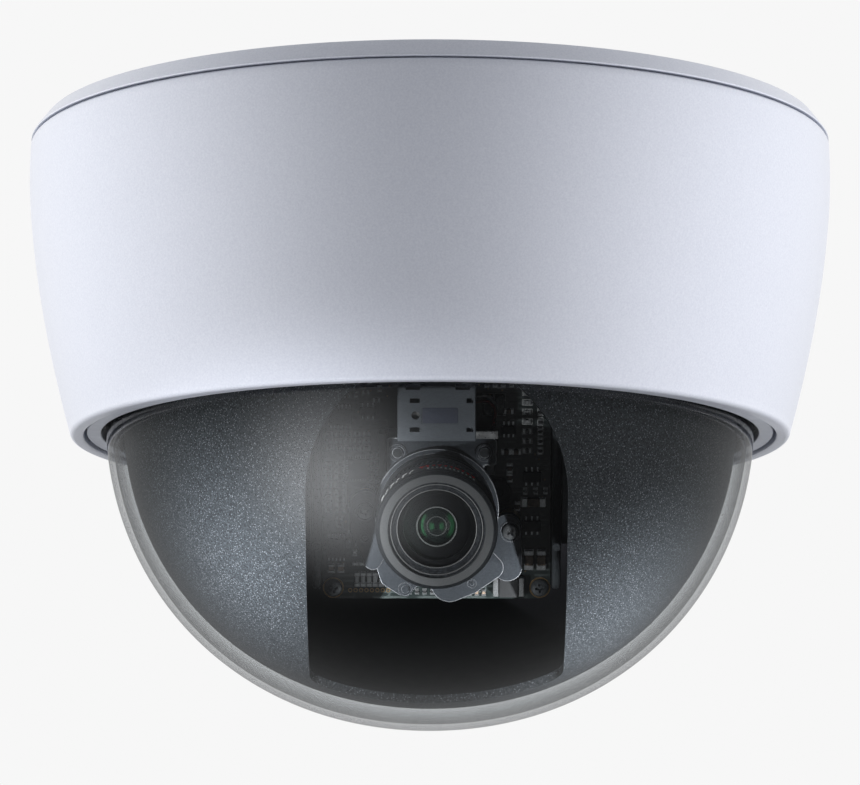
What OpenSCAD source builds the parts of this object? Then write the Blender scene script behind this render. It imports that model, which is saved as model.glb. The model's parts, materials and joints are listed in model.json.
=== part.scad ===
// Indoor dome camera for a ceiling. A base plate screws to the ceiling and holds a pan turntable.
// The turntable carries a yoke, a tilting camera module and a slotted inner liner.
// A cover with a clear dome pushes on from below.
// Origin: centre of the ceiling face. +Z points up into the ceiling. The lens looks towards -Y.

/* [Cover] */
// Radius of the cover at its widest
cover_r = 75.1; // [75:0.1:75.5]
// How far the cover draws in from its widest level to its lip
cover_draw = 8.0; // [7.6:0.1:8.4]
// Power of the curve that the cover's side follows
cover_curve = 1.69; // [1.5:0.01:1.9]
// Wall thickness of the cover
cover_wall = 2.4; // [2.2:0.1:2.5]
// Level of the cover's bottom lip
lip_z = -59.2; // [-59.4:0.1:-59]
// Radius of the opening inside the lip
lip_r = 64.5; // [64.4:0.1:64.6]

/* [Dome] */
// Outer radius of the clear dome at its widest
dome_r = 60.5; // [60:0.1:60.6]
// Depth of the clear dome below its widest level
dome_depth = 59.2; // [58:0.1:61]
// Wall thickness of the clear dome
dome_wall = 1.2; // [1:0.1:1.2]
// Power of the dome's oval profile; 2 is an ellipse
dome_power = 2.08; // [2:0.01:2.15]

/* [Liner] */
// Outer radius of the inner liner
liner_r = 57.2; // [57:0.1:57.3]
// Depth of the liner's bowl below the dome's widest level
liner_depth = 55.1; // [54:0.1:55.5]
// Wall thickness of the liner
liner_wall = 1.5; // [1.2:0.1:1.6]
// Width of the liner's lens window
slot_w = 46.4; // [44:0.1:46.6]
// Level of the centre of the window's round top
slot_arch_z = -76.5; // [-78:0.1:-75]

/* [Base] */
// Thickness of the base plate
plate_t = 3.5; // [3.4:0.1:3.6]
// Radius of the base plate's ceiling face, inside its bevelled rim
plate_face_r = 72.4; // [72:0.1:73]
// Radius of the ceiling screw circle
ceiling_screw_r = 64; // [63.6:0.1:64.2]
// Diameter of a ceiling screw hole
ceiling_hole_d = 4.5; // [4:0.1:4.6]
// Diameter of the hole in the cable grommet
cable_hole_d = 8; // [6:0.5:9]

/* [Camera module] */
// Sideways place of the lens and its yoke
module_x = 1.2; // [0:0.1:1.5]
// Tilt axis, measured towards the back of the camera
pivot_y = -6; // [-6.5:0.1:-5.5]
// Level of the tilt axis
pivot_z = -69.4; // [-70:0.1:-69]
// Angle of the lens below the horizontal at rest
rest_tilt = 20; // [18:1:24]
// Distance from the tilt axis to the front of the lens
lens_reach = 36.3; // [36:0.1:36.6]
// Width of the camera board
board_w = 42; // [41.6:0.1:42]

/* [Lens] */
// Outer radius of the focus and zoom rings
lens_ring_r = 10.9; // [10.8:0.1:11]
// Radius of the front glass
front_glass_r = 6.9; // [6.6:0.1:7]
// Travel of the day and night filter
filter_travel = 8; // [7.5:0.1:8]

/* [Hidden] */

$fn = 96;
tiny = 0.01;
cut = 1;
curve_steps = 24;

// Cover levels
cover_top_z = -3.7;
cover_wide_z = -10.2;
cover_curve_end_z = lip_z + 1;
lip_fillet_r = 1.0;
ledge_z = -50;

// Dome seat levels, from the ring's underside up
ring_bottom_z = lip_z + 0.6;
dome_seat_z = ring_bottom_z + 1.6;
flange_top_z = dome_seat_z + 1.8;
gasket_top_z = flange_top_z + 0.8;
clamp_top_z = gasket_top_z + 1.8;
bowl_z = -54;
flange_r = 62.7;
ring_wall_r = 63.9;
ring_inner_r = 61.2;
clamp_inner_r = 59.4;

// Base levels
rim_r = 74.9;
cable_seat_r = 7;
skirt_r = 71.5;
skirt_inner_r = 68.7;
skirt_z = -13;
seal_r = 71.2;
seal_z = -10.5;
seal_cord_r = 0.9;
retainer_screw_r = 57.8;
ledge_bottom_z = -19;
wall_bottom_z = -22.6;
wall_r = 59.5;
bearing_r = 53;
race_r = 56;
terminal_top_z = -14;
terminal_board_t = 1.6;

// Turntable
turntable_r = race_r - 0.4;
turntable_top_z = ledge_bottom_z - 0.3;
turntable_t = 3;
turntable_z = turntable_top_z - turntable_t;
passage_r = 13;

// Liner
liner_top_z = -44;
post_ring_r = 48;
slot_end_y = -5;
slot_corner_r = 5;

// Yoke and pivot
arm_inner = 23.1;
arm_t = 1.8;
arm_r = 10;
foot_w = 11;
pivot_r = 1.5;
bush_r = 3;
side_inner = 21.2;
side_t = 1.6;

// Boards, measured from the tilt axis: y grows towards the back of the module, v upwards
board_front_y = -7.3;
board_t = 1.6;
board_low_v = -19;
board_top_v = 23;
rear_board_y = 3;
bracket_y = 8;
bracket_t = 1.2;
hole_x = 19;
hole_low_v = -16.9;
hole_top_v = 20.6;

// Lens stack, measured behind the front of the lens
tube_r = 8.3;
running_gap = 0.1;
focus_back = 7;
zoom_front = 7.3;
zoom_back = 12;
base_front = 12.2;
flange_front = 18;
holder_front = 20;
board_depth = lens_reach + board_front_y;
spigot_r = 7;

// ---------- shared shapes ----------

// Outline of an oval bowl from a starting level down to its lowest point
function bowl_curve(r, depth, start) =
    let (first = asin(pow(start / depth, dome_power / 2)))
    [for (i = [0 : curve_steps])
        let (a = first + (90 - first) * i / curve_steps)
        [i == curve_steps ? 0 : r * pow(cos(a), 2 / dome_power),
         bowl_z - depth * pow(sin(a), 2 / dome_power)]];

function reversed(list) = [for (i = [len(list) - 1 : -1 : 0]) list[i]];

// Radius of the cover's side at a level
function cover_side(z) = z > cover_wide_z ? cover_r - 0.2 * pow((z - cover_wide_z) / 6.5, 2)
    : cover_r - cover_draw * pow((cover_wide_z - z) / (cover_wide_z - cover_curve_end_z), cover_curve);

module tube(r_out, r_in, low, high) {
    difference() {
        translate([0, 0, low]) cylinder(r = r_out, h = high - low);
        translate([0, 0, low - cut]) cylinder(r = r_in, h = high - low + 2 * cut);
    }
}

module around(count, radius, start = 0) {
    for (i = [0 : count - 1]) rotate([0, 0, start + i * 360 / count]) translate([radius, 0, 0]) children();
}

module rounded_rect(x0, x1, y0, y1, r) {
    translate([x0 + r, y0]) square([x1 - x0 - 2 * r, y1 - y0]);
    translate([x0, y0 + r]) square([x1 - x0, y1 - y0 - 2 * r]);
    for (x = [x0 + r, x1 - r], y = [y0 + r, y1 - r]) translate([x, y]) circle(r = r, $fn = 32);
}

// Cross-head screw: its head sits above z = 0 and its shank runs down
module screw(head_r, head_h, shank_r, length) {
    difference() {
        union() {
            cylinder(r = head_r, h = head_h, $fn = 40);
            translate([0, 0, head_h - tiny])
                cylinder(r1 = head_r, r2 = head_r * 0.8, h = head_h * 0.3, $fn = 40);
            translate([0, 0, -length]) cylinder(r = shank_r, h = length + tiny, $fn = 32);
        }
        for (turn = [0, 90]) rotate([0, 0, turn])
            translate([-head_r * 0.6, -head_r * 0.13, head_h * 0.55])
                cube([head_r * 1.2, head_r * 0.26, head_h]);
    }
}

// Module frame: origin on the tilt axis, -Y along the lens, +Z up across it
module in_module() {
    translate([module_x, pivot_y, pivot_z]) rotate([rest_tilt, 0, 0]) children();
}

// Lens frame: origin at the front of the lens, +Z out of it, +Y up across it
module in_lens() {
    in_module() translate([0, -lens_reach, 0]) rotate([90, 0, 0]) children();
}

// Board frame: z = 0 on the front face of the camera board, +Z towards the lens, +Y up
module on_board() {
    in_lens() translate([0, 0, -board_depth]) children();
}

module board_corners() {
    for (x = [-hole_x, hole_x], v = [hole_low_v, hole_top_v]) translate([x, v, 0]) children();
}

// ---------- sweeps for the leads ----------

function unit(v) = v / norm(v);
function spline(a, b, c, d, t) = 0.5 * (2 * b + (c - a) * t + (2 * a - 5 * b + 4 * c - d) * t * t
    + (3 * b - a - 3 * c + d) * t * t * t);
function smooth_route(p, steps) = concat(
    [for (i = [0 : len(p) - 2], k = [0 : steps - 1])
        spline(p[max(i - 1, 0)], p[i], p[i + 1], p[min(i + 2, len(p) - 1)], k / steps)],
    [p[len(p) - 1]]);

module swept_tube(path, radius, sides = 8, side_hint = [1, 0.13, 0.07]) {
    last = len(path) - 1;
    points = [for (i = [0 : last])
        let (t = unit(path[min(i + 1, last)] - path[max(i - 1, 0)]),
             u = unit(cross(t, side_hint)),
             w = cross(t, u))
        for (k = [0 : sides - 1]) path[i] + radius * (cos(k * 360 / sides) * u + sin(k * 360 / sides) * w)];
    walls = [for (i = [0 : last - 1], k = [0 : sides - 1])
        let (next = (k + 1) % sides)
        [i * sides + k, (i + 1) * sides + k, (i + 1) * sides + next, i * sides + next]];
    start_cap = [for (k = [0 : sides - 1]) k];
    end_cap = [for (k = [sides - 1 : -1 : 0]) last * sides + k];
    polyhedron(points, concat(walls, [start_cap, end_cap]));
}

// ---------- base ----------

module base_plate() {
    color("gainsboro") difference() {
        rotate_extrude($fn = 128) polygon([
            [0, 0], [plate_face_r, 0], [rim_r, -plate_t + 0.3], [rim_r, -plate_t], [0, -plate_t]]);
        translate([0, 0, -plate_t - cut]) cylinder(r = cable_seat_r, h = plate_t + 2 * cut);
        around(4, ceiling_screw_r, 22.5) translate([0, 0, -plate_t - cut])
            cylinder(d = ceiling_hole_d, h = plate_t + 2 * cut, $fn = 32);
        tube(71.1, 67.1, -1.2, cut);
    }
}

// The wall that the cover pushes on to, with a groove for its seal
module base_skirt() {
    color("gainsboro") difference() {
        rotate_extrude($fn = 128) polygon([
            [skirt_r, -plate_t], [skirt_r, skirt_z + 0.6], [skirt_r - 0.6, skirt_z],
            [skirt_inner_r, skirt_z], [skirt_inner_r, -plate_t]]);
        rotate_extrude() translate([seal_r, seal_z]) circle(r = seal_cord_r, $fn = 32);
    }
}

// The stepped wall inside the base that the turntable runs in
module bearing_ring() {
    color("gainsboro") difference() {
        rotate_extrude($fn = 128) polygon([
            [bearing_r, -plate_t], [wall_r, -plate_t], [wall_r, wall_bottom_z],
            [race_r, wall_bottom_z], [race_r, ledge_bottom_z], [bearing_r, ledge_bottom_z]]);
        around(4, retainer_screw_r, 22.5) translate([0, 0, wall_bottom_z - cut])
            cylinder(r = 0.9, h = 6 + cut, $fn = 24);
    }
}

module ceiling_gasket() {
    color("dimgray") tube(71, 67.2, -1.2, 0);
}

module cable_grommet() {
    color("dimgray") rotate_extrude() polygon([
        [cable_hole_d / 2, 0], [cable_seat_r, 0], [cable_seat_r, -plate_t],
        [9, -plate_t], [9, -5], [cable_hole_d / 2, -5]]);
}

module cover_seal() {
    color("dimgray") rotate_extrude() translate([seal_r, seal_z]) circle(r = seal_cord_r, $fn = 32);
}

module cover_clips() {
    color("silver") around(3, 0, 30) intersection() {
        union() {
            tube(72.1, skirt_r, -8.6, -4.4);
            tube(72.2, skirt_r, -7, -6);
        }
        translate([60, -6, -10]) cube([15, 12, 8]);
    }
}

module terminal_board() {
    color("darkgreen") difference() {
        translate([0, 0, terminal_top_z - terminal_board_t]) cylinder(r = 51, h = terminal_board_t);
        translate([0, 0, terminal_top_z - 4]) cylinder(r = 12, h = 8);
        around(3, 46, 90) translate([0, 0, terminal_top_z - 4]) cylinder(r = 1.2, h = 8, $fn = 24);
    }
}

module terminal_board_posts() {
    color("silver") around(3, 46, 90) {
        translate([0, 0, terminal_top_z]) cylinder(r = 3, h = -terminal_top_z - plate_t, $fn = 6);
        translate([0, 0, terminal_top_z - terminal_board_t])
            cylinder(r = 1.2, h = terminal_board_t + tiny, $fn = 24);
        translate([0, 0, terminal_top_z - terminal_board_t - 1.4]) cylinder(r = 2.2, h = 1.4, $fn = 32);
    }
}

module terminal_block() {
    ways = 5;
    pitch = 5;
    color("seagreen") translate([0, 30, terminal_top_z]) difference() {
        translate([-ways * pitch / 2, -5, 0]) cube([ways * pitch, 10, 8.5]);
        for (i = [0 : ways - 1]) translate([(i - (ways - 1) / 2) * pitch, 0, 0]) {
            translate([-1.6, -6, 1.2]) cube([3.2, 6, 3.2]);
            translate([0, 1, 5]) cylinder(r = 1.7, h = 5, $fn = 24);
        }
    }
}

module lead_header() {
    color("ivory") translate([26, 0, terminal_top_z - terminal_board_t - 3]) difference() {
        translate([-3, -6, 0]) cube([6, 12, 3]);
        translate([-3 - cut, -4.8, 0.6]) cube([4, 9.6, 1.8]);
    }
}

module turntable_retainer() {
    color("silver") difference() {
        tube(wall_r, 51.5, wall_bottom_z - 2, wall_bottom_z);
        around(4, retainer_screw_r, 22.5) translate([0, 0, wall_bottom_z - 3])
            cylinder(r = 0.9, h = 4, $fn = 24);
    }
}

module retainer_screws() {
    color("silver") around(4, retainer_screw_r, 22.5) translate([0, 0, wall_bottom_z - 2]) rotate([180, 0, 0])
        screw(1.6, 1.1, 0.9, 7);
}

// The lead leaves the header, crosses to the pan axis and turns down through the turntable
module base_lead() {
    color("black") swept_tube(smooth_route(
        [[23, 0, -17.4], [17, 0, -17.4], [10, 0, -17.6], [4, 0, -17.8],
         [0.8, 0, -19], [0, 0, -21], [0, 0, -22.2]],
        3), 1.2, 8, [0.07, 1, 0.05]);
}

// ---------- pan group ----------

module turntable() {
    color("gray") difference() {
        union() {
            translate([0, 0, turntable_z]) cylinder(r = turntable_r, h = turntable_t);
            tube(passage_r + 2.5, passage_r, turntable_z - 2.5, turntable_z + tiny);
        }
        translate([0, 0, turntable_z - 5]) cylinder(r = passage_r, h = 10);
        for (i = [-1, 1]) translate([0, 32 * i, turntable_z - cut])
            linear_extrude(turntable_t + 2 * cut) rounded_rect(-14, 14, -4, 4, 3.9);
        around(3, post_ring_r, 90) translate([0, 0, turntable_z - cut]) cylinder(r = 1.2, h = 6, $fn = 24);
        foot_holes() translate([0, 0, turntable_z - cut]) cylinder(r = 1.2, h = 6, $fn = 24);
    }
}

module foot_holes() {
    for (side = [-1, 1], y = [pivot_y - 6, pivot_y + 6])
        translate([module_x + side * (arm_inner + arm_t + 6), y, 0]) children();
}

// One arm: a foot under the turntable and a long cheek with a round end at the tilt axis
module yoke_arm(side) {
    translate([module_x, 0, 0]) difference() {
        union() {
            translate([side > 0 ? arm_inner : -arm_inner - arm_t, pivot_y - arm_r, pivot_z])
                cube([arm_t, 2 * arm_r, turntable_z - pivot_z]);
            translate([side * (arm_inner + arm_t / 2), pivot_y, pivot_z]) rotate([0, 90, 0])
                cylinder(r = arm_r, h = arm_t, center = true);
            translate([side > 0 ? arm_inner : -arm_inner - foot_w, pivot_y - arm_r, turntable_z - arm_t])
                cube([foot_w, 2 * arm_r, arm_t]);
        }
        translate([0, pivot_y, pivot_z]) rotate([0, 90, 0])
            cylinder(r = bush_r, h = 80, center = true, $fn = 40);
        translate([0, pivot_y, -42]) rotate([0, 90, 0]) cylinder(r = 4, h = 80, center = true, $fn = 40);
        translate([-module_x, 0, 0]) foot_holes()
            translate([0, 0, turntable_z - 4]) cylinder(r = 1.2, h = 6, $fn = 24);
    }
}

module yoke_arm_left() {
    color("slategray") yoke_arm(-1);
}

module yoke_arm_right() {
    color("slategray") yoke_arm(1);
}

module yoke_screws() {
    color("silver") foot_holes() translate([0, 0, turntable_z - arm_t]) rotate([180, 0, 0])
        screw(2.2, 1.3, 1.2, arm_t + turntable_t - 0.2);
}

module pivot_bushes() {
    color("ivory") for (side = [-1, 1])
        translate([module_x + side * (arm_inner + arm_t / 2), pivot_y, pivot_z])
        rotate([0, 90, 0]) difference() {
            cylinder(r = bush_r, h = arm_t, center = true, $fn = 40);
            cylinder(r = pivot_r + 0.05, h = arm_t + 2, center = true, $fn = 40);
        }
}

module liner_shell() {
    rotate_extrude($fn = 128) polygon(concat(
        [[liner_r, liner_top_z]],
        bowl_curve(liner_r, liner_depth, 0),
        reversed(bowl_curve(liner_r - liner_wall, liner_depth - liner_wall, 0)),
        [[liner_r - liner_wall, liner_top_z]]));
}

// The lens window: upright sides and a round top in front, round corners where it ends underneath
module lens_window() {
    intersection() {
        translate([module_x, slot_end_y, 0]) rotate([90, 0, 0]) linear_extrude(70) union() {
            translate([-slot_w / 2, -130]) square([slot_w, 130 + slot_arch_z]);
            translate([0, slot_arch_z]) circle(d = slot_w);
        }
        translate([module_x, 0, -130]) linear_extrude(130)
            rounded_rect(-slot_w / 2, slot_w / 2, -90, slot_end_y, slot_corner_r);
    }
}

module liner() {
    color("dimgray") difference() {
        union() {
            liner_shell();
            intersection() {
                around(3, 0, 90) translate([post_ring_r - 4, -5, liner_top_z - 2.5]) cube([16, 10, 2.5]);
                translate([0, 0, liner_top_z - 4]) cylinder(r = liner_r - liner_wall / 2, h = 8);
            }
        }
        lens_window();
        around(3, post_ring_r, 90) translate([0, 0, liner_top_z - 5]) cylinder(r = 1.2, h = 10, $fn = 24);
    }
}

module liner_posts() {
    color("silver") around(3, post_ring_r, 90) difference() {
        translate([0, 0, liner_top_z]) cylinder(r = 3, h = turntable_z - liner_top_z, $fn = 32);
        translate([0, 0, liner_top_z - cut]) cylinder(r = 1.2, h = 8 + cut, $fn = 24);
        translate([0, 0, turntable_z - 6]) cylinder(r = 1.2, h = 8, $fn = 24);
    }
}

module liner_screws() {
    color("silver") around(3, post_ring_r, 90) {
        translate([0, 0, liner_top_z - 2.5]) rotate([180, 0, 0]) screw(2.2, 1.3, 1.2, 9);
        translate([0, 0, turntable_z - 5]) cylinder(r = 1.2, h = 5 + turntable_t - 0.4, $fn = 24);
    }
}

module upper_lead() {
    color("black") swept_tube(smooth_route(
        [[0, 0, -22.6], [0, 0, -25], [0.2, 1.2, -29], [0.7, 4.6, -34.5], [1, 6.6, -40], [1.2, 6.9, -43.4]],
        3), 1.2);
}

// ---------- tilting module ----------

module module_bracket() {
    color("slategray") in_module() difference() {
        union() {
            translate([0, bracket_y + bracket_t, 0]) rotate([90, 0, 0]) linear_extrude(bracket_t)
                rounded_rect(-side_inner - side_t, side_inner + side_t, board_low_v, board_top_v, 3);
            for (side = [-1, 1]) intersection() {
                translate([0, bracket_y + tiny, 0]) rotate([90, 0, 0]) linear_extrude(bracket_y + 10)
                    rounded_rect(-side_inner - side_t, side_inner + side_t,
                        board_low_v + 2, board_top_v - 7, 3);
                translate([side > 0 ? side_inner : -side_inner - side_t, -20, -40]) cube([side_t, 40, 80]);
            }
            for (side = [-1, 1]) translate([side * (side_inner + side_t / 2), -8.6, -8.5]) rotate([90, 0, 0])
                cylinder(r = side_t / 2, h = 2.6, $fn = 24);
        }
        rotate([0, 90, 0]) cylinder(r = pivot_r, h = 80, center = true, $fn = 40);
        for (side = [-1, 1]) translate([side * 22, -6, 8.5]) cube([4, 3.2, 4], center = true);
        translate([0, bracket_y + 3, 2]) rotate([90, 0, 0]) linear_extrude(6) rounded_rect(-12, 12, -8, 8, 3);
        translate([0, bracket_y + 3, 0]) rotate([90, 0, 0]) linear_extrude(6) rounded_rect(-5, 5, -15, -5, 1);
        translate([0, bracket_y + 3, 0]) rotate([90, 0, 0]) board_corners() cylinder(r = 1, h = 6, $fn = 24);
    }
}

module pivot_screws() {
    color("silver") in_module() for (side = [-1, 1]) translate([side * (arm_inner + arm_t + 0.6), 0, 0])
        rotate([0, 90 * side, 0]) screw(3, 1.4, pivot_r, 4.4);
}

module pivot_washers() {
    color("silver") in_module() for (side = [-1, 1]) translate([side * (arm_inner + arm_t + 0.35), 0, 0])
        rotate([0, 90, 0]) difference() {
            cylinder(r = 3.8, h = 0.5, center = true, $fn = 40);
            cylinder(r = pivot_r, h = 2, center = true, $fn = 40);
        }
}

module board_blank(low_v) {
    difference() {
        linear_extrude(board_t) rounded_rect(-board_w / 2, board_w / 2, low_v, board_top_v, 3);
        translate([0, 0, -cut]) board_corners() cylinder(r = 1, h = board_t + 2 * cut, $fn = 24);
    }
}

module camera_board() {
    color("darkslategray") on_board() translate([0, 0, -board_t]) board_blank(board_low_v);
}

module processor_board() {
    color("darkgreen") in_module() translate([0, rear_board_y + board_t, 0]) rotate([90, 0, 0])
        board_blank(board_low_v);
}

module board_spacers() {
    front_gap = rear_board_y - board_front_y - board_t;
    back_gap = bracket_y - rear_board_y - board_t;
    color("goldenrod") in_module() rotate([90, 0, 0]) board_corners() {
        translate([0, 0, -rear_board_y]) tube(2, 1, 0, front_gap, $fn = 24);
        translate([0, 0, -bracket_y]) tube(2, 1, 0, back_gap, $fn = 24);
    }
}

module board_screws() {
    color("silver") {
        on_board() board_corners() screw(1.7, 1.0, 1, 8);
        in_module() translate([0, bracket_y + bracket_t, 0]) rotate([-90, 0, 0]) mirror([0, 1, 0])
            board_corners() screw(1.7, 1.0, 1, 7);
    }
}

module board_connector() {
    color("ivory") in_module() {
        translate([-9, board_front_y + board_t, 13]) cube([18, rear_board_y - board_front_y - board_t, 4]);
        translate([-6, rear_board_y + board_t, -14]) cube([12, 3, 5]);
    }
}

module image_sensor() {
    color("dimgray") on_board() difference() {
        translate([-5.7, -5.1, 0]) cube([11.4, 10.2, 1.4]);
        translate([-3.6, -3, 1]) cube([7.2, 6, 1]);
    }
}

// Square and oblong integrated circuits: place, size across, size up, height
chips = [[-15.4, 4.6, 3.8, 3.8, 0.9], [-15.6, -10.6, 4.2, 5.2, 1.1], [-16.2, 14, 3.2, 3.2, 0.8],
    [17, 5.6, 2.8, 1.7, 1], [17, -2.4, 2.8, 1.7, 1], [14, 17.6, 3.2, 3.2, 0.8]];

module board_chips() {
    color("black") {
        on_board() for (c = chips) translate([c[0] - c[2] / 2, c[1] - c[3] / 2, 0]) cube([c[2], c[3], c[4]]);
        in_module() translate([-7, rear_board_y - 1.2, -6]) cube([14, 1.2, 14]);
    }
}

// Resistors and capacitors stand in rows down both sides of the board
module board_passives() {
    color("tan") on_board() {
        for (v = [-6 : 2 : 10]) translate([-19.6, v, 0]) cube([1.8, 1, 0.6]);
        for (v = [-14 : 2.4 : 16]) translate([18.6, v, 0]) cube([1.6, 1, 0.6]);
        for (x = [-15.4 : 1.8 : -10]) translate([x, -16.4, 0]) cube([1.2, 2.2, 0.6]);
        for (x = [12.4, 14.8], v = [-11, 10.5]) translate([x, v, 0]) cube([1.5, 2.6, 1]);
    }
}

module power_coils() {
    color("black") on_board() {
        translate([10.4, -18.3, 0]) linear_extrude(2.5) rounded_rect(0, 5.7, 0, 3.7, 0.6);
        translate([11.3, 1.4, 0]) cylinder(r = 2.2, h = 2.4, $fn = 40);
    }
}

module lens_holder() {
    color("dimgray") in_lens() difference() {
        union() {
            translate([0, 0, -board_depth]) linear_extrude(board_depth - holder_front)
                rounded_rect(-9, 8.6, -14, 13, 0.8);
            translate([0, 0, -board_depth]) linear_extrude(board_depth - holder_front)
                rounded_rect(7, 11, 7.8, 13, 0.8);
            for (x = [-7.1, 8.7]) translate([x, 10.2, -holder_front - tiny])
                cylinder(r = 1.4, h = 0.5, $fn = 32);
        }
        translate([0, 0, -holder_front - cut * 4]) cylinder(r = spigot_r, h = 8, $fn = 64);
        translate([-6.4, -12.9, -board_depth - cut]) cube([12.8, 27, board_depth - holder_front - 3 + cut]);
    }
}

// The motor box above the lens that shifts the day and night filter
module filter_housing() {
    front = -16;
    back = -27;
    color("gray") in_lens() difference() {
        translate([-7.1, 13, back]) cube([14.2, 10, front - back]);
        translate([-6.3, 13 - cut, back + 0.8]) cube([12.6, 9.2 + cut, front - back - 1.6]);
        for (x = [-4.5, 4.9], v = [15.2, 20.2]) translate([x - 0.9, v - 0.4, front - 2]) cube([1.8, 0.8, 3]);
        translate([-4.1, 17.6, front - 2]) cylinder(r = 0.7, h = 3, $fn = 24);
        translate([-3.1, 16.1, front - 0.3]) cube([6.6, 3, 1]);
        for (x = [-5, 3.2]) translate([x, 22.4, front - 2]) cube([2.6, 1, 3]);
    }
}

module filter_motor() {
    color("silver") in_lens() translate([-5, 18, -20.4]) rotate([0, 90, 0]) {
        cylinder(r = 3, h = 8, $fn = 40);
        translate([0, 0, 8 - tiny]) cylinder(r = 0.5, h = 2, $fn = 24);
    }
}

module filter_lead() {
    color("darkred") in_lens() for (i = [0, 1]) swept_tube(smooth_route(
        [[7.1, 20 - i, -22], [8.6, 20.4 - i, -22], [9.9, 19 - i, -23], [10.2, 16.4 - i, -25],
         [10.4, 14.8 - i, -27], [10.6, 14.4 - i, -board_depth + 0.1]], 3), 0.3, 8, [0.07, 1, 0.05]);
}

module lens_barrel() {
    color("dimgray") in_lens() rotate_extrude() polygon([
        [7.3, -4.4], [tube_r, -4.4], [tube_r, -base_front], [10.1, -base_front], [10.4, -base_front - 0.3],
        [10.4, -holder_front], [spigot_r, -holder_front], [spigot_r, -23.4],
        [5, -23.4], [5, -9], [7.3, -8.6]]);
}

// Flange outline: a collar with a long left ear, a right ear and two lower lobes
module flange_outline() {
    circle(r = 10.9);
    hull() {
        translate([-12.9, 0.2]) circle(r = 3, $fn = 32);
        translate([-12, -5]) circle(r = 3.4, $fn = 32);
        translate([-7, -10]) circle(r = 2, $fn = 32);
    }
    hull() {
        translate([13, -3.4]) circle(r = 2.6, $fn = 32);
        translate([12.4, -9.6]) circle(r = 2.8, $fn = 32);
        translate([8, -8]) circle(r = 4, $fn = 32);
    }
    hull() {
        translate([-5.7, -14.2]) circle(r = 2, $fn = 32);
        translate([-3, -9]) circle(r = 4, $fn = 32);
    }
    hull() {
        translate([3.2, -13]) circle(r = 4, $fn = 32);
        translate([5, -10]) circle(r = 6, $fn = 32);
    }
}

module flange_points() {
    translate([-13, -0.2, 0]) children();
    translate([13.4, -4, 0]) children();
}

module lens_flange() {
    color("dimgray") in_lens() translate([0, 0, -holder_front]) difference() {
        linear_extrude(holder_front - flange_front) flange_outline();
        translate([0, 0, -cut]) cylinder(r = 10.4, h = 5);
        translate([0, 0, -cut]) flange_points() cylinder(r = 0.9, h = 5, $fn = 24);
    }
}

module flange_posts() {
    color("silver") on_board() flange_points()
        tube(2, 0.9, 0, board_depth - holder_front, $fn = 32);
}

module flange_screws() {
    color("silver") in_lens() translate([0, 0, -flange_front]) flange_points() screw(1.5, 0.7, 0.9, 8);
}

module inner_lenses() {
    color("lightblue", 0.5) in_lens() {
        translate([0, 0, -8.4]) cylinder(r = 7.2, h = 2.4);
        translate([0, 0, -17]) cylinder(r = 4.9, h = 3);
    }
}

module lead_plug() {
    color("ivory") in_module() translate([-3.4, rear_board_y + board_t + 3, -13.6]) cube([6.8, 1.8, 4.2]);
}

// From the plug on the rear board the lead climbs behind the module
module lower_lead() {
    color("black") swept_tube(smooth_route(
        [[1.2, 6.9, -77], [1.2, 9.8, -75.9], [1.2, 13.2, -69.5],
         [1.2, 12.4, -58], [1.2, 8.4, -49], [1.2, 6.9, -43.8]],
        4), 1.2);
}

// ---------- moving lens rings ----------

module zoom_ring() {
    teeth = 36;
    color("black") in_lens() difference() {
        tube(lens_ring_r, tube_r + running_gap, -zoom_back, -zoom_front);
        around(teeth, lens_ring_r + 0.1) translate([-0.5, -0.35, -zoom_back - cut])
            cube([1.2, 0.7, 1.4 + cut]);
    }
}

module focus_ring() {
    color("dimgray") in_lens() rotate_extrude() polygon([
        [8.7, 0], [10.1, 0], [10.6, -0.5], [10.6, -0.8], [lens_ring_r, -1.1], [lens_ring_r, -focus_back],
        [tube_r + running_gap, -focus_back], [tube_r + running_gap, -4.1], [8.7, -4.1]]);
}

module front_cell() {
    color("black") in_lens() rotate_extrude() polygon([
        [8.3, -0.4], [8.7, -0.4], [8.7, -4.1], [6, -4.1], [6, -3], [front_glass_r + 0.1, -3],
        [front_glass_r + 0.1, -1.7], [7.6, -1.3], [8, -0.9], [8.3, -0.9]]);
}

module front_lens() {
    sag = 1.5;
    ball_r = (front_glass_r * front_glass_r + sag * sag) / (2 * sag);
    color("lightblue", 0.5) in_lens() translate([0, 0, -0.7]) intersection() {
        translate([0, 0, -ball_r]) sphere(r = ball_r, $fn = 128);
        translate([0, 0, -2.3]) cylinder(r = front_glass_r, h = 4);
    }
}

// ---------- day and night filter ----------

module filter_frame() {
    color("black") in_lens() difference() {
        union() {
            translate([-6, -12.4, -26]) cube([12, 17, 1]);
            translate([-1.5, 4.5, -26]) cube([3, 9.3, 1]);
        }
        for (v = [0, -filter_travel]) translate([-4.2, v - 3.4, -27]) cube([8.4, 6.8, 3]);
    }
}

module filter_glasses() {
    color("lightcoral", 0.6) in_lens() for (v = [0, -filter_travel])
        translate([-4.2, v - 3.4, -25.8]) cube([8.4, 6.8, 0.6]);
}

// ---------- cover ----------

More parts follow.
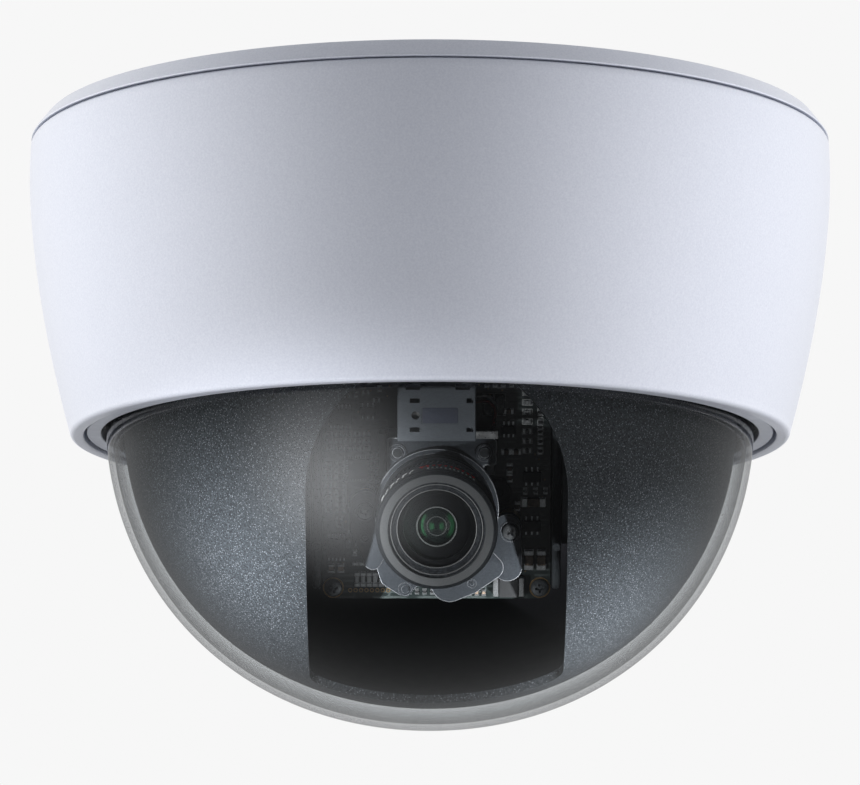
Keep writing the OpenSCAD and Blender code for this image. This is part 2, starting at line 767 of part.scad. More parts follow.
module cover_shell() {
    side = [for (i = [0 : curve_steps]) cover_wide_z + (cover_curve_end_z - cover_wide_z) * i / curve_steps];
    fillet_x = cover_side(cover_curve_end_z) - lip_fillet_r;
    outside = concat(
        [[cover_r - 0.6, cover_top_z], [cover_r - 0.2, cover_top_z - 0.4]],
        [for (z = side) [cover_side(z), z]],
        [for (a = [-15 : -15 : -90])
            [fillet_x + lip_fillet_r * cos(a), cover_curve_end_z + lip_fillet_r * sin(a)]],
        [[lip_r + 0.4, lip_z], [lip_r, lip_z + 0.4], [lip_r, ledge_z]]);
    inside = [for (z = reversed(side)) if (z > ledge_z) [cover_side(z) - cover_wall, z]];
    color("lavender") difference() {
        rotate_extrude($fn = 128) polygon(concat(
            outside,
            [[cover_side(ledge_z) - cover_wall, ledge_z]],
            inside,
            [[cover_r - 0.2 - cover_wall, cover_top_z]]));
        around(4, 65.5, 45) translate([0, 0, ledge_z - 5]) cylinder(r = 0.8, h = 6, $fn = 24);
    }
}

module dome() {
    color("lightcyan", 0.35) rotate_extrude($fn = 128) polygon(concat(
        [[flange_r, flange_top_z], [flange_r, dome_seat_z]],
        bowl_curve(dome_r, dome_depth, bowl_z - dome_seat_z),
        reversed(bowl_curve(dome_r - dome_wall, dome_depth - dome_wall, bowl_z - flange_top_z))));
}

module dome_ring() {
    color("lightsteelblue") difference() {
        rotate_extrude($fn = 128) polygon([
            [ring_inner_r, ring_bottom_z], [ring_wall_r, ring_bottom_z], [ring_wall_r, ledge_z],
            [66.6, ledge_z], [66.6, ledge_z + 1.6], [62.9, ledge_z + 1.6],
            [62.9, dome_seat_z], [ring_inner_r, dome_seat_z]]);
        around(4, 65.5, 45) translate([0, 0, ledge_z - cut]) cylinder(r = 0.8, h = 6, $fn = 24);
    }
}

module dome_gasket() {
    color("dimgray") tube(flange_r, clamp_inner_r, flange_top_z, gasket_top_z);
}

module dome_clamp() {
    color("gray") tube(62.8, clamp_inner_r, gasket_top_z, clamp_top_z);
}

module ring_screws() {
    color("silver") around(4, 65.5, 45) translate([0, 0, ledge_z + 1.6]) screw(1.4, 0.9, 0.8, 6.4);
}

base_plate();
base_skirt();
bearing_ring();
ceiling_gasket();
cable_grommet();
cover_seal();
cover_clips();
terminal_board();
terminal_block();
lead_header();
terminal_board_posts();
turntable_retainer();
retainer_screws();
base_lead();
turntable();
yoke_arm_left();
yoke_arm_right();
yoke_screws();
pivot_bushes();
liner();
liner_posts();
liner_screws();
upper_lead();
module_bracket();
pivot_screws();
pivot_washers();
camera_board();
processor_board();
board_spacers();
board_screws();
board_connector();
image_sensor();
board_chips();
board_passives();
power_coils();
lens_holder();
filter_housing();
filter_motor();
filter_lead();
lens_barrel();
lens_flange();
flange_posts();
flange_screws();
inner_lenses();
lead_plug();
lower_lead();
zoom_ring();
focus_ring();
front_cell();
front_lens();
filter_frame();
filter_glasses();
cover_shell();
dome();
dome_ring();
dome_gasket();
dome_clamp();
ring_screws();
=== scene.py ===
import json
import math
import random

import bmesh
import bpy
from mathutils import Matrix, Vector


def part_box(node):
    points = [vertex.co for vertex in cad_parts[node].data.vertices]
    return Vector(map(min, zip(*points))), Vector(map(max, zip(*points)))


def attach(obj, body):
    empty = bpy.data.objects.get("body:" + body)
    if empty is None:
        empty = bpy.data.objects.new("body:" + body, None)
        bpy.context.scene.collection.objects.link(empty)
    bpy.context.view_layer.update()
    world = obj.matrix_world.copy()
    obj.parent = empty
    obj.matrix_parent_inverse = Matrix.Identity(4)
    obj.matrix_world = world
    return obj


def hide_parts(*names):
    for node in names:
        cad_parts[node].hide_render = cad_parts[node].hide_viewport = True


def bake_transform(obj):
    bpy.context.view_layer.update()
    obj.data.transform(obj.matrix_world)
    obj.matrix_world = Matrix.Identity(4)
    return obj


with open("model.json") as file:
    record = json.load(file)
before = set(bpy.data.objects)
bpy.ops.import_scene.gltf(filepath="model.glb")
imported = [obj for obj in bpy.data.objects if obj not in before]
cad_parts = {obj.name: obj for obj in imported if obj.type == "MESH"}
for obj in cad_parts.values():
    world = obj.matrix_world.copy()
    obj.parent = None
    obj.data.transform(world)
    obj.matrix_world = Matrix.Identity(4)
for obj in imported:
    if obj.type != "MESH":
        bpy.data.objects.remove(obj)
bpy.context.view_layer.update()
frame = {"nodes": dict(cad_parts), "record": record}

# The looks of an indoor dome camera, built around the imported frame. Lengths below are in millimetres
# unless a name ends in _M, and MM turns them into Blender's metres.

MM = 0.001
SCENE = bpy.context.scene
RECORD = frame["record"]
JOINTS = {joint["name"]: joint for joint in RECORD["behaviour"]["joints"]}

# ---------- places taken from the frame ----------


def edge(node, side, axis):
    """One side of a CAD node's box, in millimetres: side 0 is low and 1 is high."""
    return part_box(node)[side][axis] / MM


PIVOT = Vector(JOINTS["tilt"]["pos_m"]) / MM
LENS_AXIS = Vector(JOINTS["zoom_turn"]["axis"]).normalized()
LENS_UP = Vector(JOINTS["filter_shift"]["axis"]).normalized()
LENS_REACH = 36.3
BOARD_DEPTH = 29.0
MODULE_X = PIVOT.x
COVER_TOP = edge("cover_shell", 1, 2)
LIP_Z = edge("cover_shell", 0, 2)
COVER_R = edge("cover_shell", 1, 0)
BOWL_Z = -54.0


def frame_matrix(origin, x, y, z):
    """A matrix in metres from an origin in millimetres and three unit axes."""
    m = Matrix((x, y, z)).transposed().to_4x4()
    m.translation = origin * MM
    return m


def shift(x, y, z=0.0):
    return Matrix.Translation((x, y, z))


def turned_about(axis, degrees):
    return Matrix.Rotation(math.radians(degrees), 4, axis)


# Lens frame: origin at the front of the lens, +Z out of it, +Y up across it, +X to the right
LENS = frame_matrix(PIVOT + LENS_AXIS * LENS_REACH, Vector((1, 0, 0)), LENS_UP, LENS_AXIS)
# Board frame: as the lens frame, with z = 0 on the front face of the camera board
BOARD = LENS @ shift(0, 0, -BOARD_DEPTH * MM)
# Tilt frame: origin on the tilt axis, +Y towards the back of the module, +Z up across it
TILT = frame_matrix(PIVOT, Vector((1, 0, 0)), -LENS_AXIS, LENS_UP)
ROW = Matrix.Identity(4)
# Stands a slab on edge, with its outline in y and z and its thickness in x
SIDEWAYS = Matrix(((0, 0, 1, 0), (1, 0, 0, 0), (0, 1, 0, 0), (0, 0, 0, 1)))
# How many steps a large turned piece takes round its axis
FINE = 256

# ---------- mesh building ----------


def add_object(name, data):
    obj = bpy.data.objects.new(name, data)
    SCENE.collection.objects.link(obj)
    return obj


def add_piece(node, shape, body, materials, matrix=ROW, replaces=(), sharp=35):
    """Makes a piece of a mesh or a bmesh and seats it on a body, if one is named. It stands for its
    CAD node, or for the nodes in replaces."""
    name = node + "_piece"
    mesh = shape if isinstance(shape, bpy.types.Mesh) else mesh_of(shape, name)
    mesh.name = name
    obj = add_object(name, mesh)
    for material in materials:
        mesh.materials.append(material)
    obj.matrix_world = matrix
    mesh.polygons.foreach_set("use_smooth", [True] * len(mesh.polygons))
    mesh.set_sharp_from_angle(angle=math.radians(sharp))
    if body:
        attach(obj, body)
    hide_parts(*(replaces or [node]))
    return obj


# How far a chamfer along a front edge may lean: its normal's z
CHAMFER_LEAN = (0.3, 0.93)


def paint_edge_highlights(mesh, index):
    """Gives a piece's chamfers along its front edges another of its materials, a lighter one that paints a
    highlight on those edges.
    """
    for face in mesh.polygons:
        if CHAMFER_LEAN[0] < face.normal.z < CHAMFER_LEAN[1]:
            face.material_index = index


def mesh_of(bm, name):
    """Turns a bmesh in millimetres into a mesh in metres."""
    bmesh.ops.recalc_face_normals(bm, faces=bm.faces)
    bmesh.ops.scale(bm, vec=(MM, MM, MM), verts=bm.verts)
    mesh = bpy.data.meshes.new(name)
    bm.to_mesh(mesh)
    bm.free()
    return mesh


def weld(bm):
    """Joins points that lie in the same place."""
    bmesh.ops.remove_doubles(bm, verts=bm.verts, dist=1e-4)


def reopened(mesh):
    """Turns a mesh in metres back into a bmesh in millimetres."""
    bm = bmesh.new()
    bm.from_mesh(mesh)
    bmesh.ops.scale(bm, vec=(1 / MM, 1 / MM, 1 / MM), verts=bm.verts)
    return bm


def rounded(points, radius, steps, closed=True):
    """A polygon with its corners turned into arcs. radius is one value or one for each point."""
    count = len(points)
    radii = radius if isinstance(radius, (list, tuple)) else [radius] * count
    out = []
    for i, point in enumerate(points):
        p = Vector(point)
        if radii[i] <= 0 or (not closed and i in (0, count - 1)):
            out.append(tuple(p))
            continue
        a = Vector(points[i - 1]) - p
        b = Vector(points[(i + 1) % count]) - p
        angle = a.angle(b)
        reach = radii[i] / math.tan(angle / 2)
        reach = min(reach, a.length * 0.48, b.length * 0.48)
        start = p + a.normalized() * reach
        end = p + b.normalized() * reach
        for k in range(steps + 1):
            t = k / steps
            out.append(tuple(start * (1 - t) ** 2 + p * 2 * t * (1 - t) + end * t * t))
    return out


def lathe(bm, outline, segments, material=0, closed=True, matrix=ROW, ripple=None):
    """Turns an outline of (radius, height) about Z. Points on the axis become one vertex."""
    rings = []
    for r, z in outline:
        if r < 1e-6:
            rings.append([bm.verts.new(matrix @ Vector((0, 0, z)))])
            continue
        ring = []
        for k in range(segments):
            a = 2 * math.pi * k / segments
            rr = r + (ripple(r, z, k) if ripple else 0)
            ring.append(bm.verts.new(matrix @ Vector((rr * math.cos(a), rr * math.sin(a), z))))
        rings.append(ring)
    pairs = list(zip(rings, rings[1:] + rings[:1])) if closed else list(zip(rings, rings[1:]))
    for low, high in pairs:
        if len(low) == 1 and len(high) == 1:
            continue
        for k in range(segments):
            n = (k + 1) % segments
            if len(low) == 1:
                corners = (low[0], high[k], high[n])
            elif len(high) == 1:
                corners = (low[k], low[n], high[0])
            else:
                corners = (low[k], low[n], high[n], high[k])
            bm.faces.new(corners).material_index = material


def rod(bm, r, low, high, segments, matrix=ROW, material=0):
    """A plain cylinder along Z."""
    lathe(bm, [(0, low), (r, low), (r, high), (0, high)], segments, material, matrix=matrix)


def hoop(bm, inner, outer, low, high, segments, matrix, material):
    """A plain ring about Z."""
    lathe(bm, [(inner, low), (outer, low), (outer, high), (inner, high)], segments, material, matrix=matrix)


def lathed(node, outline, body, materials, matrix=ROW, segments=192):
    """A piece turned from one closed outline."""
    bm = bmesh.new()
    lathe(bm, outline, segments)
    add_piece(node, bm, body, materials, matrix)


def block(bm, low, high, chamfer, material=0, segments=1, matrix=ROW):
    """A box from corner to corner with its edges bevelled."""
    part = bmesh.new()
    bmesh.ops.create_cube(part, size=1)
    size = Vector(high) - Vector(low)
    centre = (Vector(high) + Vector(low)) / 2
    for v in part.verts:
        v.co = Vector((v.co.x * size.x, v.co.y * size.y, v.co.z * size.z)) + centre
    if chamfer:
        bmesh.ops.bevel(part, geom=part.edges[:], offset=chamfer, segments=segments, affect="EDGES",
                        profile=0.5)
    join(bm, part, material, matrix)


def join(bm, part, material=None, matrix=ROW):
    """Copies one bmesh into another, then frees it."""
    seats = {v: bm.verts.new(matrix @ v.co) for v in part.verts}
    for f in part.faces:
        face = bm.faces.new([seats[v] for v in f.verts])
        face.material_index = f.material_index if material is None else material
    part.free()


def slab(bm, outline, low, high, chamfer, material=0, segments=2, matrix=ROW):
    """An outline in the XY plane pulled up from low to high, its top and bottom edges rounded."""
    part = bmesh.new()
    base = part.faces.new([part.verts.new((x, y, low)) for x, y in outline])
    up = bmesh.ops.extrude_face_region(part, geom=[base])
    top = [v for v in up["geom"] if isinstance(v, bmesh.types.BMVert)]
    bmesh.ops.translate(part, vec=(0, 0, high - low), verts=top)
    if chamfer:
        flat = [e for e in part.edges if abs(e.verts[0].co.z - e.verts[1].co.z) < 1e-6]
        bmesh.ops.bevel(part, geom=flat, offset=chamfer, segments=segments, affect="EDGES", profile=0.5)
    join(bm, part, material, matrix)


def circle_points(x, y, r, count=24, start=0.0, sweep=360.0):
    steps = count if sweep == 360.0 else count + 1
    angles = [math.radians(start + sweep * k / count) for k in range(steps)]
    return [(x + r * math.cos(a), y + r * math.sin(a)) for a in angles]


def blob(circles):
    """The outline that a tight band round some circles would take."""
    points = sorted({(round(x, 5), round(y, 5)) for c in circles for x, y in circle_points(*c, 40)})

    def half(items):
        chain = []
        for p in items:
            while len(chain) > 1 and turn(chain[-2], chain[-1], p) <= 0:
                chain.pop()
            chain.append(p)
        return chain[:-1]

    return half(points) + half(points[::-1])


def turn(a, b, c):
    return (b[0] - a[0]) * (c[1] - a[1]) - (b[1] - a[1]) * (c[0] - a[0])


def rounded_rect(x0, x1, y0, y1, r, steps=6):
    return rounded([(x0, y0), (x1, y0), (x1, y1), (x0, y1)], r, steps)


def applied(obj):
    """An object's mesh with its modifiers applied. The object itself is deleted."""
    graph = bpy.context.evaluated_depsgraph_get()
    mesh = bpy.data.meshes.new_from_object(obj.evaluated_get(graph))
    bpy.data.objects.remove(obj)
    return mesh


def carve(bm, tool_bm, overlapping=False, operation="DIFFERENCE"):
    """Cuts one bmesh out of another and returns the new mesh, in metres."""
    obj = add_object("carved", mesh_of(bm, "carved"))
    cut = obj.modifiers.new("cut", "BOOLEAN")
    cut.operation = operation
    cut.solver = "EXACT"
    cut.use_self = overlapping
    cut.object = add_object("cutter", mesh_of(tool_bm, "cutter"))
    tool = cut.object
    mesh = applied(obj)
    bpy.data.objects.remove(tool)
    return mesh


def tube_mesh(points, radius, sides=16):
    """A round tube along a smooth curve through points in millimetres."""
    curve = bpy.data.curves.new("route", "CURVE")
    curve.dimensions = "3D"
    spline = curve.splines.new("NURBS")
    spline.points.add(len(points) - 1)
    for seat, p in zip(spline.points, points):
        seat.co = (p[0] * MM, p[1] * MM, p[2] * MM, 1)
    spline.use_endpoint_u = True
    spline.order_u = 4
    spline.resolution_u = 10
    curve.bevel_depth = radius * MM
    curve.bevel_resolution = sides // 4
    curve.use_fill_caps = True
    return applied(add_object("route", curve))


# ---------- materials ----------


class Wiring:
    """Adds nodes to one node tree. Wherever a value is asked for, a socket may be given instead."""

    def __init__(self, tree):
        self.tree = tree

    def feed(self, seat, value):
        if isinstance(value, bpy.types.NodeSocket):
            self.tree.links.new(value, seat)
        else:
            seat.default_value = value

    def node(self, kind, inputs=(), **values):
        """A new node: inputs holds what goes into it by socket, values are its settings."""
        made = self.tree.nodes.new(kind)
        for key, value in values.items():
            setattr(made, key, value)
        for socket, value in dict(inputs).items():
            self.feed(made.inputs[socket], value)
        return made

    def maths(self, operation, a, b):
        return self.node("ShaderNodeMath", {0: a, 1: b}, operation=operation).outputs[0]

    def mixed_shaders(self, fac, a, b):
        return self.node("ShaderNodeMixShader", {"Fac": fac, 1: a, 2: b}).outputs[0]

    def ramp(self, fac, low, high, a=(0, 0, 0), b=(1, 1, 1)):
        """Turns a value between low and high into a colour between a and b."""
        n = self.node("ShaderNodeValToRGB", {"Fac": fac})
        first, last = n.color_ramp.elements
        first.position, first.color = low, (*a, 1)
        last.position, last.color = high, (*b, 1)
        return n.outputs["Color"]

    def mix(self, fac, a, b):
        n = self.node("ShaderNodeMix", data_type="RGBA")
        for socket, value in (("Factor", fac), ("A", a), ("B", b)):
            target = [s for s in n.inputs if s.name == socket and s.enabled][0]
            self.feed(target, (*value, 1) if isinstance(value, tuple) else value)
        return [s for s in n.outputs if s.enabled][0]


class Paint(Wiring):
    """A node material. Its helpers add pattern nodes that read the piece's own coordinates."""

    def __init__(self, name, colour, roughness, metallic=0.0, **sockets):
        self.material = bpy.data.materials.new(name)
        self.material.use_nodes = True
        super().__init__(self.material.node_tree)
        self.shader = self.tree.nodes["Principled BSDF"]
        self.set("Base Color", (*colour, 1))
        self.set("Roughness", roughness)
        self.set("Metallic", metallic)
        for socket, value in sockets.items():
            self.set(socket.replace("_", " "), value)
        self.place = self.node("ShaderNodeTexCoord").outputs["Object"]

    def set(self, socket, value):
        self.feed(self.shader.inputs[socket], value)

    def noise(self, size, detail, rough=0.5, place=None):
        """Noise whose lumps are about size millimetres across."""
        inputs = {"Vector": place or self.place, "Scale": 1 / (size * MM), "Detail": detail,
                  "Roughness": rough}
        return self.node("ShaderNodeTexNoise", inputs).outputs["Fac"]

    def cells(self, size):
        inputs = {"Vector": self.place, "Scale": 1 / (size * MM)}
        return self.node("ShaderNodeTexVoronoi", inputs).outputs["Distance"]

    def stretch(self, scale):
        return self.node("ShaderNodeMapping", {"Vector": self.place, "Scale": scale}).outputs["Vector"]

    def colour(self, socket):
        self.set("Base Color", socket)

    def vary_roughness(self, fac, low, high):
        inputs = {"Value": fac, "To Min": low, "To Max": high}
        self.set("Roughness", self.node("ShaderNodeMapRange", inputs).outputs["Result"])

    def bump(self, height, depth, strength):
        inputs = {"Strength": strength, "Distance": depth * MM, "Height": height}
        self.set("Normal", self.node("ShaderNodeBump", inputs).outputs["Normal"])
        return self

    def see_through(self, passes, edge, least, most, shade=1.0):
        """Makes a thin clear sheet. passes is what it lets through face on and edge what it lets through
        edge on. least and most are how much of its gloss shows face on and edge on. shade is what it
        lets through of the light that falls on things behind it."""
        facing = self.node("ShaderNodeLayerWeight", {"Blend": 0.5}).outputs["Facing"]
        steep = self.maths("POWER", facing, 5.0)
        gloss = self.maths("ADD", self.maths("MULTIPLY", steep, most - least), least)
        tint = self.ramp(facing, 0.6, 1.0, passes, edge)
        path = self.node("ShaderNodeLightPath").outputs
        scattered = self.maths("MAXIMUM", path["Is Diffuse Ray"], path["Is Glossy Ray"])
        lighting = self.maths("MAXIMUM", path["Is Shadow Ray"], scattered)
        seen = self.mix(lighting, tint, (shade, shade, shade))
        clear = self.node("ShaderNodeBsdfTransparent", {"Color": seen}).outputs[0]
        surface = self.mixed_shaders(gloss, clear, self.shader.outputs[0])
        self.feed(self.tree.nodes["Material Output"].inputs["Surface"], surface)
        return self


def pearl_paint():
    p = Paint("pearl_paint", (0.56, 0.59, 0.68), 0.36, 0.25, Coat_Weight=0.18, Coat_Roughness=0.22)
    flake = p.noise(0.35, 3, 0.6)
    p.colour(p.ramp(flake, 0.3, 0.7, (0.52, 0.55, 0.64), (0.60, 0.63, 0.71)))
    p.vary_roughness(p.noise(6, 2), 0.33, 0.40)
    return p.bump(p.noise(0.55, 2, 0.5), 0.02, 0.25).material


def ring_plastic():
    p = Paint("ring_plastic", (0.46, 0.49, 0.56), 0.42)
    p.colour(p.ramp(p.noise(2.5, 3), 0.3, 0.7, (0.43, 0.46, 0.53), (0.49, 0.52, 0.59)))
    return p.bump(p.noise(0.3, 2), 0.01, 0.3).material


def clear_dome():
    p = Paint("clear_dome", (1, 1, 1), 0.0, 1.0)
    p.colour(p.ramp(p.noise(25, 2), 0.3, 0.7, (0.96, 0.97, 0.98), (0.98, 0.99, 1.0)))
    return p.see_through((0.96, 0.972, 0.975), (0.75, 0.76, 0.77), 0.045, 0.95, 0.5).material


def liner_paint():
    p = Paint("liner_paint", (0.05, 0.06, 0.07), 0.42, 0.55)
    grain = p.noise(0.32, 4, 0.75)
    sparkle = p.cells(0.42)
    base = p.ramp(grain, 0.36, 0.66, (0.016, 0.020, 0.024), (0.145, 0.163, 0.185))
    bright = p.ramp(sparkle, 0.08, 0.30, (0.66, 0.70, 0.76), (0, 0, 0))
    p.colour(p.mix(0.4, base, bright))
    p.vary_roughness(grain, 0.55, 0.32)
    return p.bump(grain, 0.03, 0.45).material


def grained(name, dark, light, roughness, grain_size, metallic=0.0, depth=0.02):
    """Moulded, cast or painted stuff: two close shades in fine noise, with bump to match."""
    p = Paint(name, light, roughness, metallic)
    grain = p.noise(grain_size, 3, 0.6)
    p.colour(p.ramp(grain, 0.3, 0.7, dark, light))
    p.vary_roughness(p.noise(grain_size * 8, 2), roughness - 0.05, roughness + 0.07)
    return p.bump(grain, depth, 0.4).material


def brushed(name, dark, light, roughness):
    """Metal with fine drawn lines."""
    p = Paint(name, light, roughness, 0.85)
    streak = p.noise(0.6, 3, 0.6, p.stretch((1, 1, 14)))
    p.colour(p.ramp(streak, 0.3, 0.7, dark, light))
    p.vary_roughness(streak, roughness - 0.06, roughness + 0.08)
    return p.bump(streak, 0.008, 0.3).material


def filter_steel():
    """Drawn steel, dull, with painted shade that darkens it towards the top of the box."""
    p = Paint("filter_steel", (0.2, 0.22, 0.25), 0.42, 0.5)
    streak = p.noise(0.6, 3, 0.6, p.stretch((1, 14, 1)))
    steel = p.ramp(streak, 0.3, 0.7, (0.17, 0.19, 0.215), (0.26, 0.285, 0.32))
    axes = p.node("ShaderNodeSeparateXYZ", {0: p.place}).outputs
    height = p.maths("MULTIPLY", axes["Y"], 1 / (36 * MM))
    # Painted shade: the colour is mixed towards near black over the top of the box
    painted_top_shade = p.ramp(height, 0.60, 0.90, (0.25, 0.25, 0.25), (1, 1, 1))
    p.colour(p.mix(painted_top_shade, steel, (0.012, 0.015, 0.018)))
    p.vary_roughness(streak, 0.36, 0.5)
    return p.bump(streak, 0.008, 0.3).material


def board_mask(name, dark, light):
    """Solder mask with faint copper tracks under it, in steps along the board."""
    p = Paint(name, dark, 0.32, Coat_Weight=0.25, Coat_Roughness=0.2)
    inputs = {"Vector": p.place, "Scale": 1 / (6.5 * MM), "Mortar Size": 0.035, "Brick Width": 1.4,
              "Row Height": 0.16, "Mortar Smooth": 0.2}
    brick = p.node("ShaderNodeTexBrick", inputs, offset=0.37, squash=0.7, squash_frequency=3)
    patch = p.ramp(p.noise(5, 1), 0.48, 0.52)
    tracks = p.mix(patch, brick.outputs["Fac"], (0.0, 0.0, 0.0))
    p.colour(p.mix(tracks, dark, light))
    return p.bump(tracks, 0.03, 0.4).material


def coated_glass(name, passes, mirror, least):
    """Coated glass: seen straight through, with a weak tinted gloss."""
    p = Paint(name, mirror, 0.0, 1.0)
    p.colour(p.ramp(p.noise(4, 1), 0.3, 0.7, mirror, tuple(0.95 * c for c in mirror)))
    return p.see_through(passes, tuple(0.7 * c for c in passes), least, 0.6).material


def deep_lens():
    """The dark glass deep in the lens, with green crescents painted on as reflections of the side light."""
    p = Paint("deep_lens", (0.01, 0.012, 0.012), 0.08, Coat_Weight=0.6, Coat_Roughness=0.02)
    flat = p.stretch((1, 1, 0))
    span = p.node("ShaderNodeVectorMath", {0: flat}, operation="LENGTH").outputs["Value"]
    axes = p.node("ShaderNodeSeparateXYZ", {0: flat}).outputs
    # Painted reflection: green rings by radius, fading out towards the top and bottom, stand in for the
    # mirrored side light
    reflection_rings = p.node("ShaderNodeValToRGB", {"Fac": p.maths("MULTIPLY", span, 1 / (3.4 * MM))})
    stops = ((0.0, 0.0), (0.10, 0.0), (0.20, 0.7), (0.36, 0.4), (0.44, 0.0), (0.66, 0.0), (0.76, 0.8),
             (0.90, 1.0), (0.98, 0.0))
    seats = reflection_rings.color_ramp.elements
    while len(seats) < len(stops):
        seats.new(0.5)
    for seat, (place, level) in zip(seats, stops):
        seat.position, seat.color = place, (level, level, level, 1)
    slope = p.maths("DIVIDE", p.maths("ABSOLUTE", axes["Y"], 0.0), span)
    reflection_fade = p.ramp(slope, 0.40, 0.80, (1, 1, 1), (0, 0, 0))
    painted_reflection = p.mix(reflection_rings.outputs["Color"], (0.006, 0.009, 0.009), (0.03, 0.125, 0.055))
    p.colour(p.mix(reflection_fade, (0.006, 0.009, 0.009), painted_reflection))
    return p.bump(p.noise(1.5, 2), 0.003, 0.2).material


PEARL = pearl_paint()
RING = ring_plastic()
CLEAR = clear_dome()
LINER = liner_paint()
SEAL = grained("seal_rubber", (0.012, 0.012, 0.013), (0.03, 0.03, 0.032), 0.7, 0.6)
BLACK = grained("black_plastic", (0.010, 0.011, 0.012), (0.022, 0.024, 0.026), 0.45, 0.25)
MATT_BLACK = grained("matt_black", (0.004, 0.004, 0.005), (0.008, 0.008, 0.009), 0.75, 0.3)
ANODISED = grained("black_anodised", (0.020, 0.023, 0.027), (0.050, 0.055, 0.062), 0.34, 0.2, 0.6)
RING_FACE = grained("ring_face", (0.105, 0.11, 0.115), (0.135, 0.14, 0.145), 0.48, 0.25, 0.3)
CELL_METAL = grained("cell_metal", (0.020, 0.023, 0.027), (0.10, 0.11, 0.125), 0.32, 0.5, 0.7)
BRIGHT_EDGE = brushed("bright_edge", (0.45, 0.46, 0.47), (0.62, 0.63, 0.64), 0.22)
CASTING = grained("grained_casting", (0.018, 0.021, 0.025), (0.038, 0.042, 0.048), 0.46, 0.28, 0.2, 0.03)
# Steel with painted shade over the top of the box
FILTER_STEEL = filter_steel()
LABEL = grained("dark_label", (0.050, 0.055, 0.075), (0.075, 0.082, 0.105), 0.5, 0.2)
STEEL = brushed("plated_steel", (0.38, 0.39, 0.40), (0.58, 0.59, 0.60), 0.28)
DARK_STEEL = brushed("blackened_steel", (0.10, 0.11, 0.12), (0.22, 0.235, 0.25), 0.30)
BRASS = brushed("brass", (0.42, 0.30, 0.12), (0.62, 0.47, 0.22), 0.3)
GOLD = brushed("gold_plate", (0.20, 0.14, 0.08), (0.34, 0.24, 0.13), 0.4)
TIN = grained("tin_solder", (0.42, 0.44, 0.46), (0.72, 0.74, 0.76), 0.30, 0.3, 0.9)
CERAMIC = grained("brown_ceramic", (0.10, 0.078, 0.062), (0.17, 0.130, 0.100), 0.5, 0.3)
GREY_CERAMIC = grained("grey_ceramic", (0.10, 0.105, 0.11), (0.17, 0.175, 0.18), 0.5, 0.3)
CHIP = grained("chip_resin", (0.012, 0.012, 0.013), (0.026, 0.027, 0.028), 0.55, 0.18)
NYLON = grained("nylon", (0.52, 0.51, 0.46), (0.64, 0.63, 0.58), 0.45, 0.5)
GREY_NYLON = grained("grey_nylon", (0.19, 0.20, 0.205), (0.26, 0.27, 0.28), 0.5, 0.4)
TERMINAL = grained("terminal_green", (0.03, 0.20, 0.06), (0.05, 0.28, 0.09), 0.42, 0.5)
CAST_ALU = grained("cast_aluminium", (0.34, 0.35, 0.36), (0.50, 0.51, 0.52), 0.42, 0.8, 0.75)
BRACKET = grained("bracket_paint", (0.035, 0.040, 0.045), (0.060, 0.067, 0.074), 0.42, 0.4, 0.2)
OLIVE_PAD = grained("olive_pad", (0.055, 0.060, 0.045), (0.085, 0.090, 0.070), 0.6, 0.5)
BOARD_BLACK = board_mask("board_black", (0.008, 0.011, 0.011), (0.030, 0.036, 0.036))
BOARD_GREEN = board_mask("board_green", (0.012, 0.075, 0.035), (0.03, 0.14, 0.07))
SILK = grained("board_print", (0.30, 0.31, 0.31), (0.45, 0.46, 0.46), 0.6, 0.3)
SCALE_WHITE = grained("scale_white", (0.80, 0.82, 0.83), (0.92, 0.93, 0.94), 0.55, 0.2)
SCALE_RED = grained("scale_red", (0.75, 0.04, 0.025), (0.90, 0.06, 0.04), 0.5, 0.2)
LEAD = grained("lead_jacket", (0.010, 0.010, 0.011), (0.022, 0.022, 0.024), 0.5, 0.5)
WIRE_RED = grained("wire_red", (0.10, 0.025, 0.02), (0.15, 0.035, 0.03), 0.45, 0.4)
WIRE_GREY = grained("wire_grey", (0.12, 0.125, 0.13), (0.20, 0.205, 0.21), 0.45, 0.4)
FRONT_GLASS = coated_glass("front_glass", (0.96, 0.98, 0.97), (0.35, 0.6, 0.45), 0.012)
# Dark glass with painted green reflections
INNER_GLASS = deep_lens()
FILTER_GLASS = coated_glass("filter_glass", (0.75, 0.35, 0.32), (0.8, 0.4, 0.4), 0.05)
# Painted edge highlight: a light colour for the chamfers along front edges
EDGE_HIGHLIGHT = grained("painted_edge_highlight", (0.20, 0.21, 0.23), (0.32, 0.33, 0.35), 0.38, 0.3, 0.4)
SCREW_STEEL = brushed("screw_steel", (0.14, 0.15, 0.16), (0.27, 0.28, 0.29), 0.3)

# ---------- cover group ----------

COVER_DRAW = 8.0
COVER_CURVE = 1.69
COVER_WIDE_Z = -10.2
CURVE_END_Z = LIP_Z + 1
LEDGE_Z = -50.0
LIP_R = 64.5
COVER_WALL = 2.4


def cover_side(z):
    """Radius of the cover's side at a level."""
    if z > COVER_WIDE_Z:
        return COVER_R - 0.2 * ((z - COVER_WIDE_Z) / 6.5) ** 2
    drop = (COVER_WIDE_Z - z) / (COVER_WIDE_Z - CURVE_END_Z)
    return COVER_R - COVER_DRAW * drop ** COVER_CURVE


def levels(top, bottom, count):
    return [top + (bottom - top) * k / count for k in range(count + 1)]


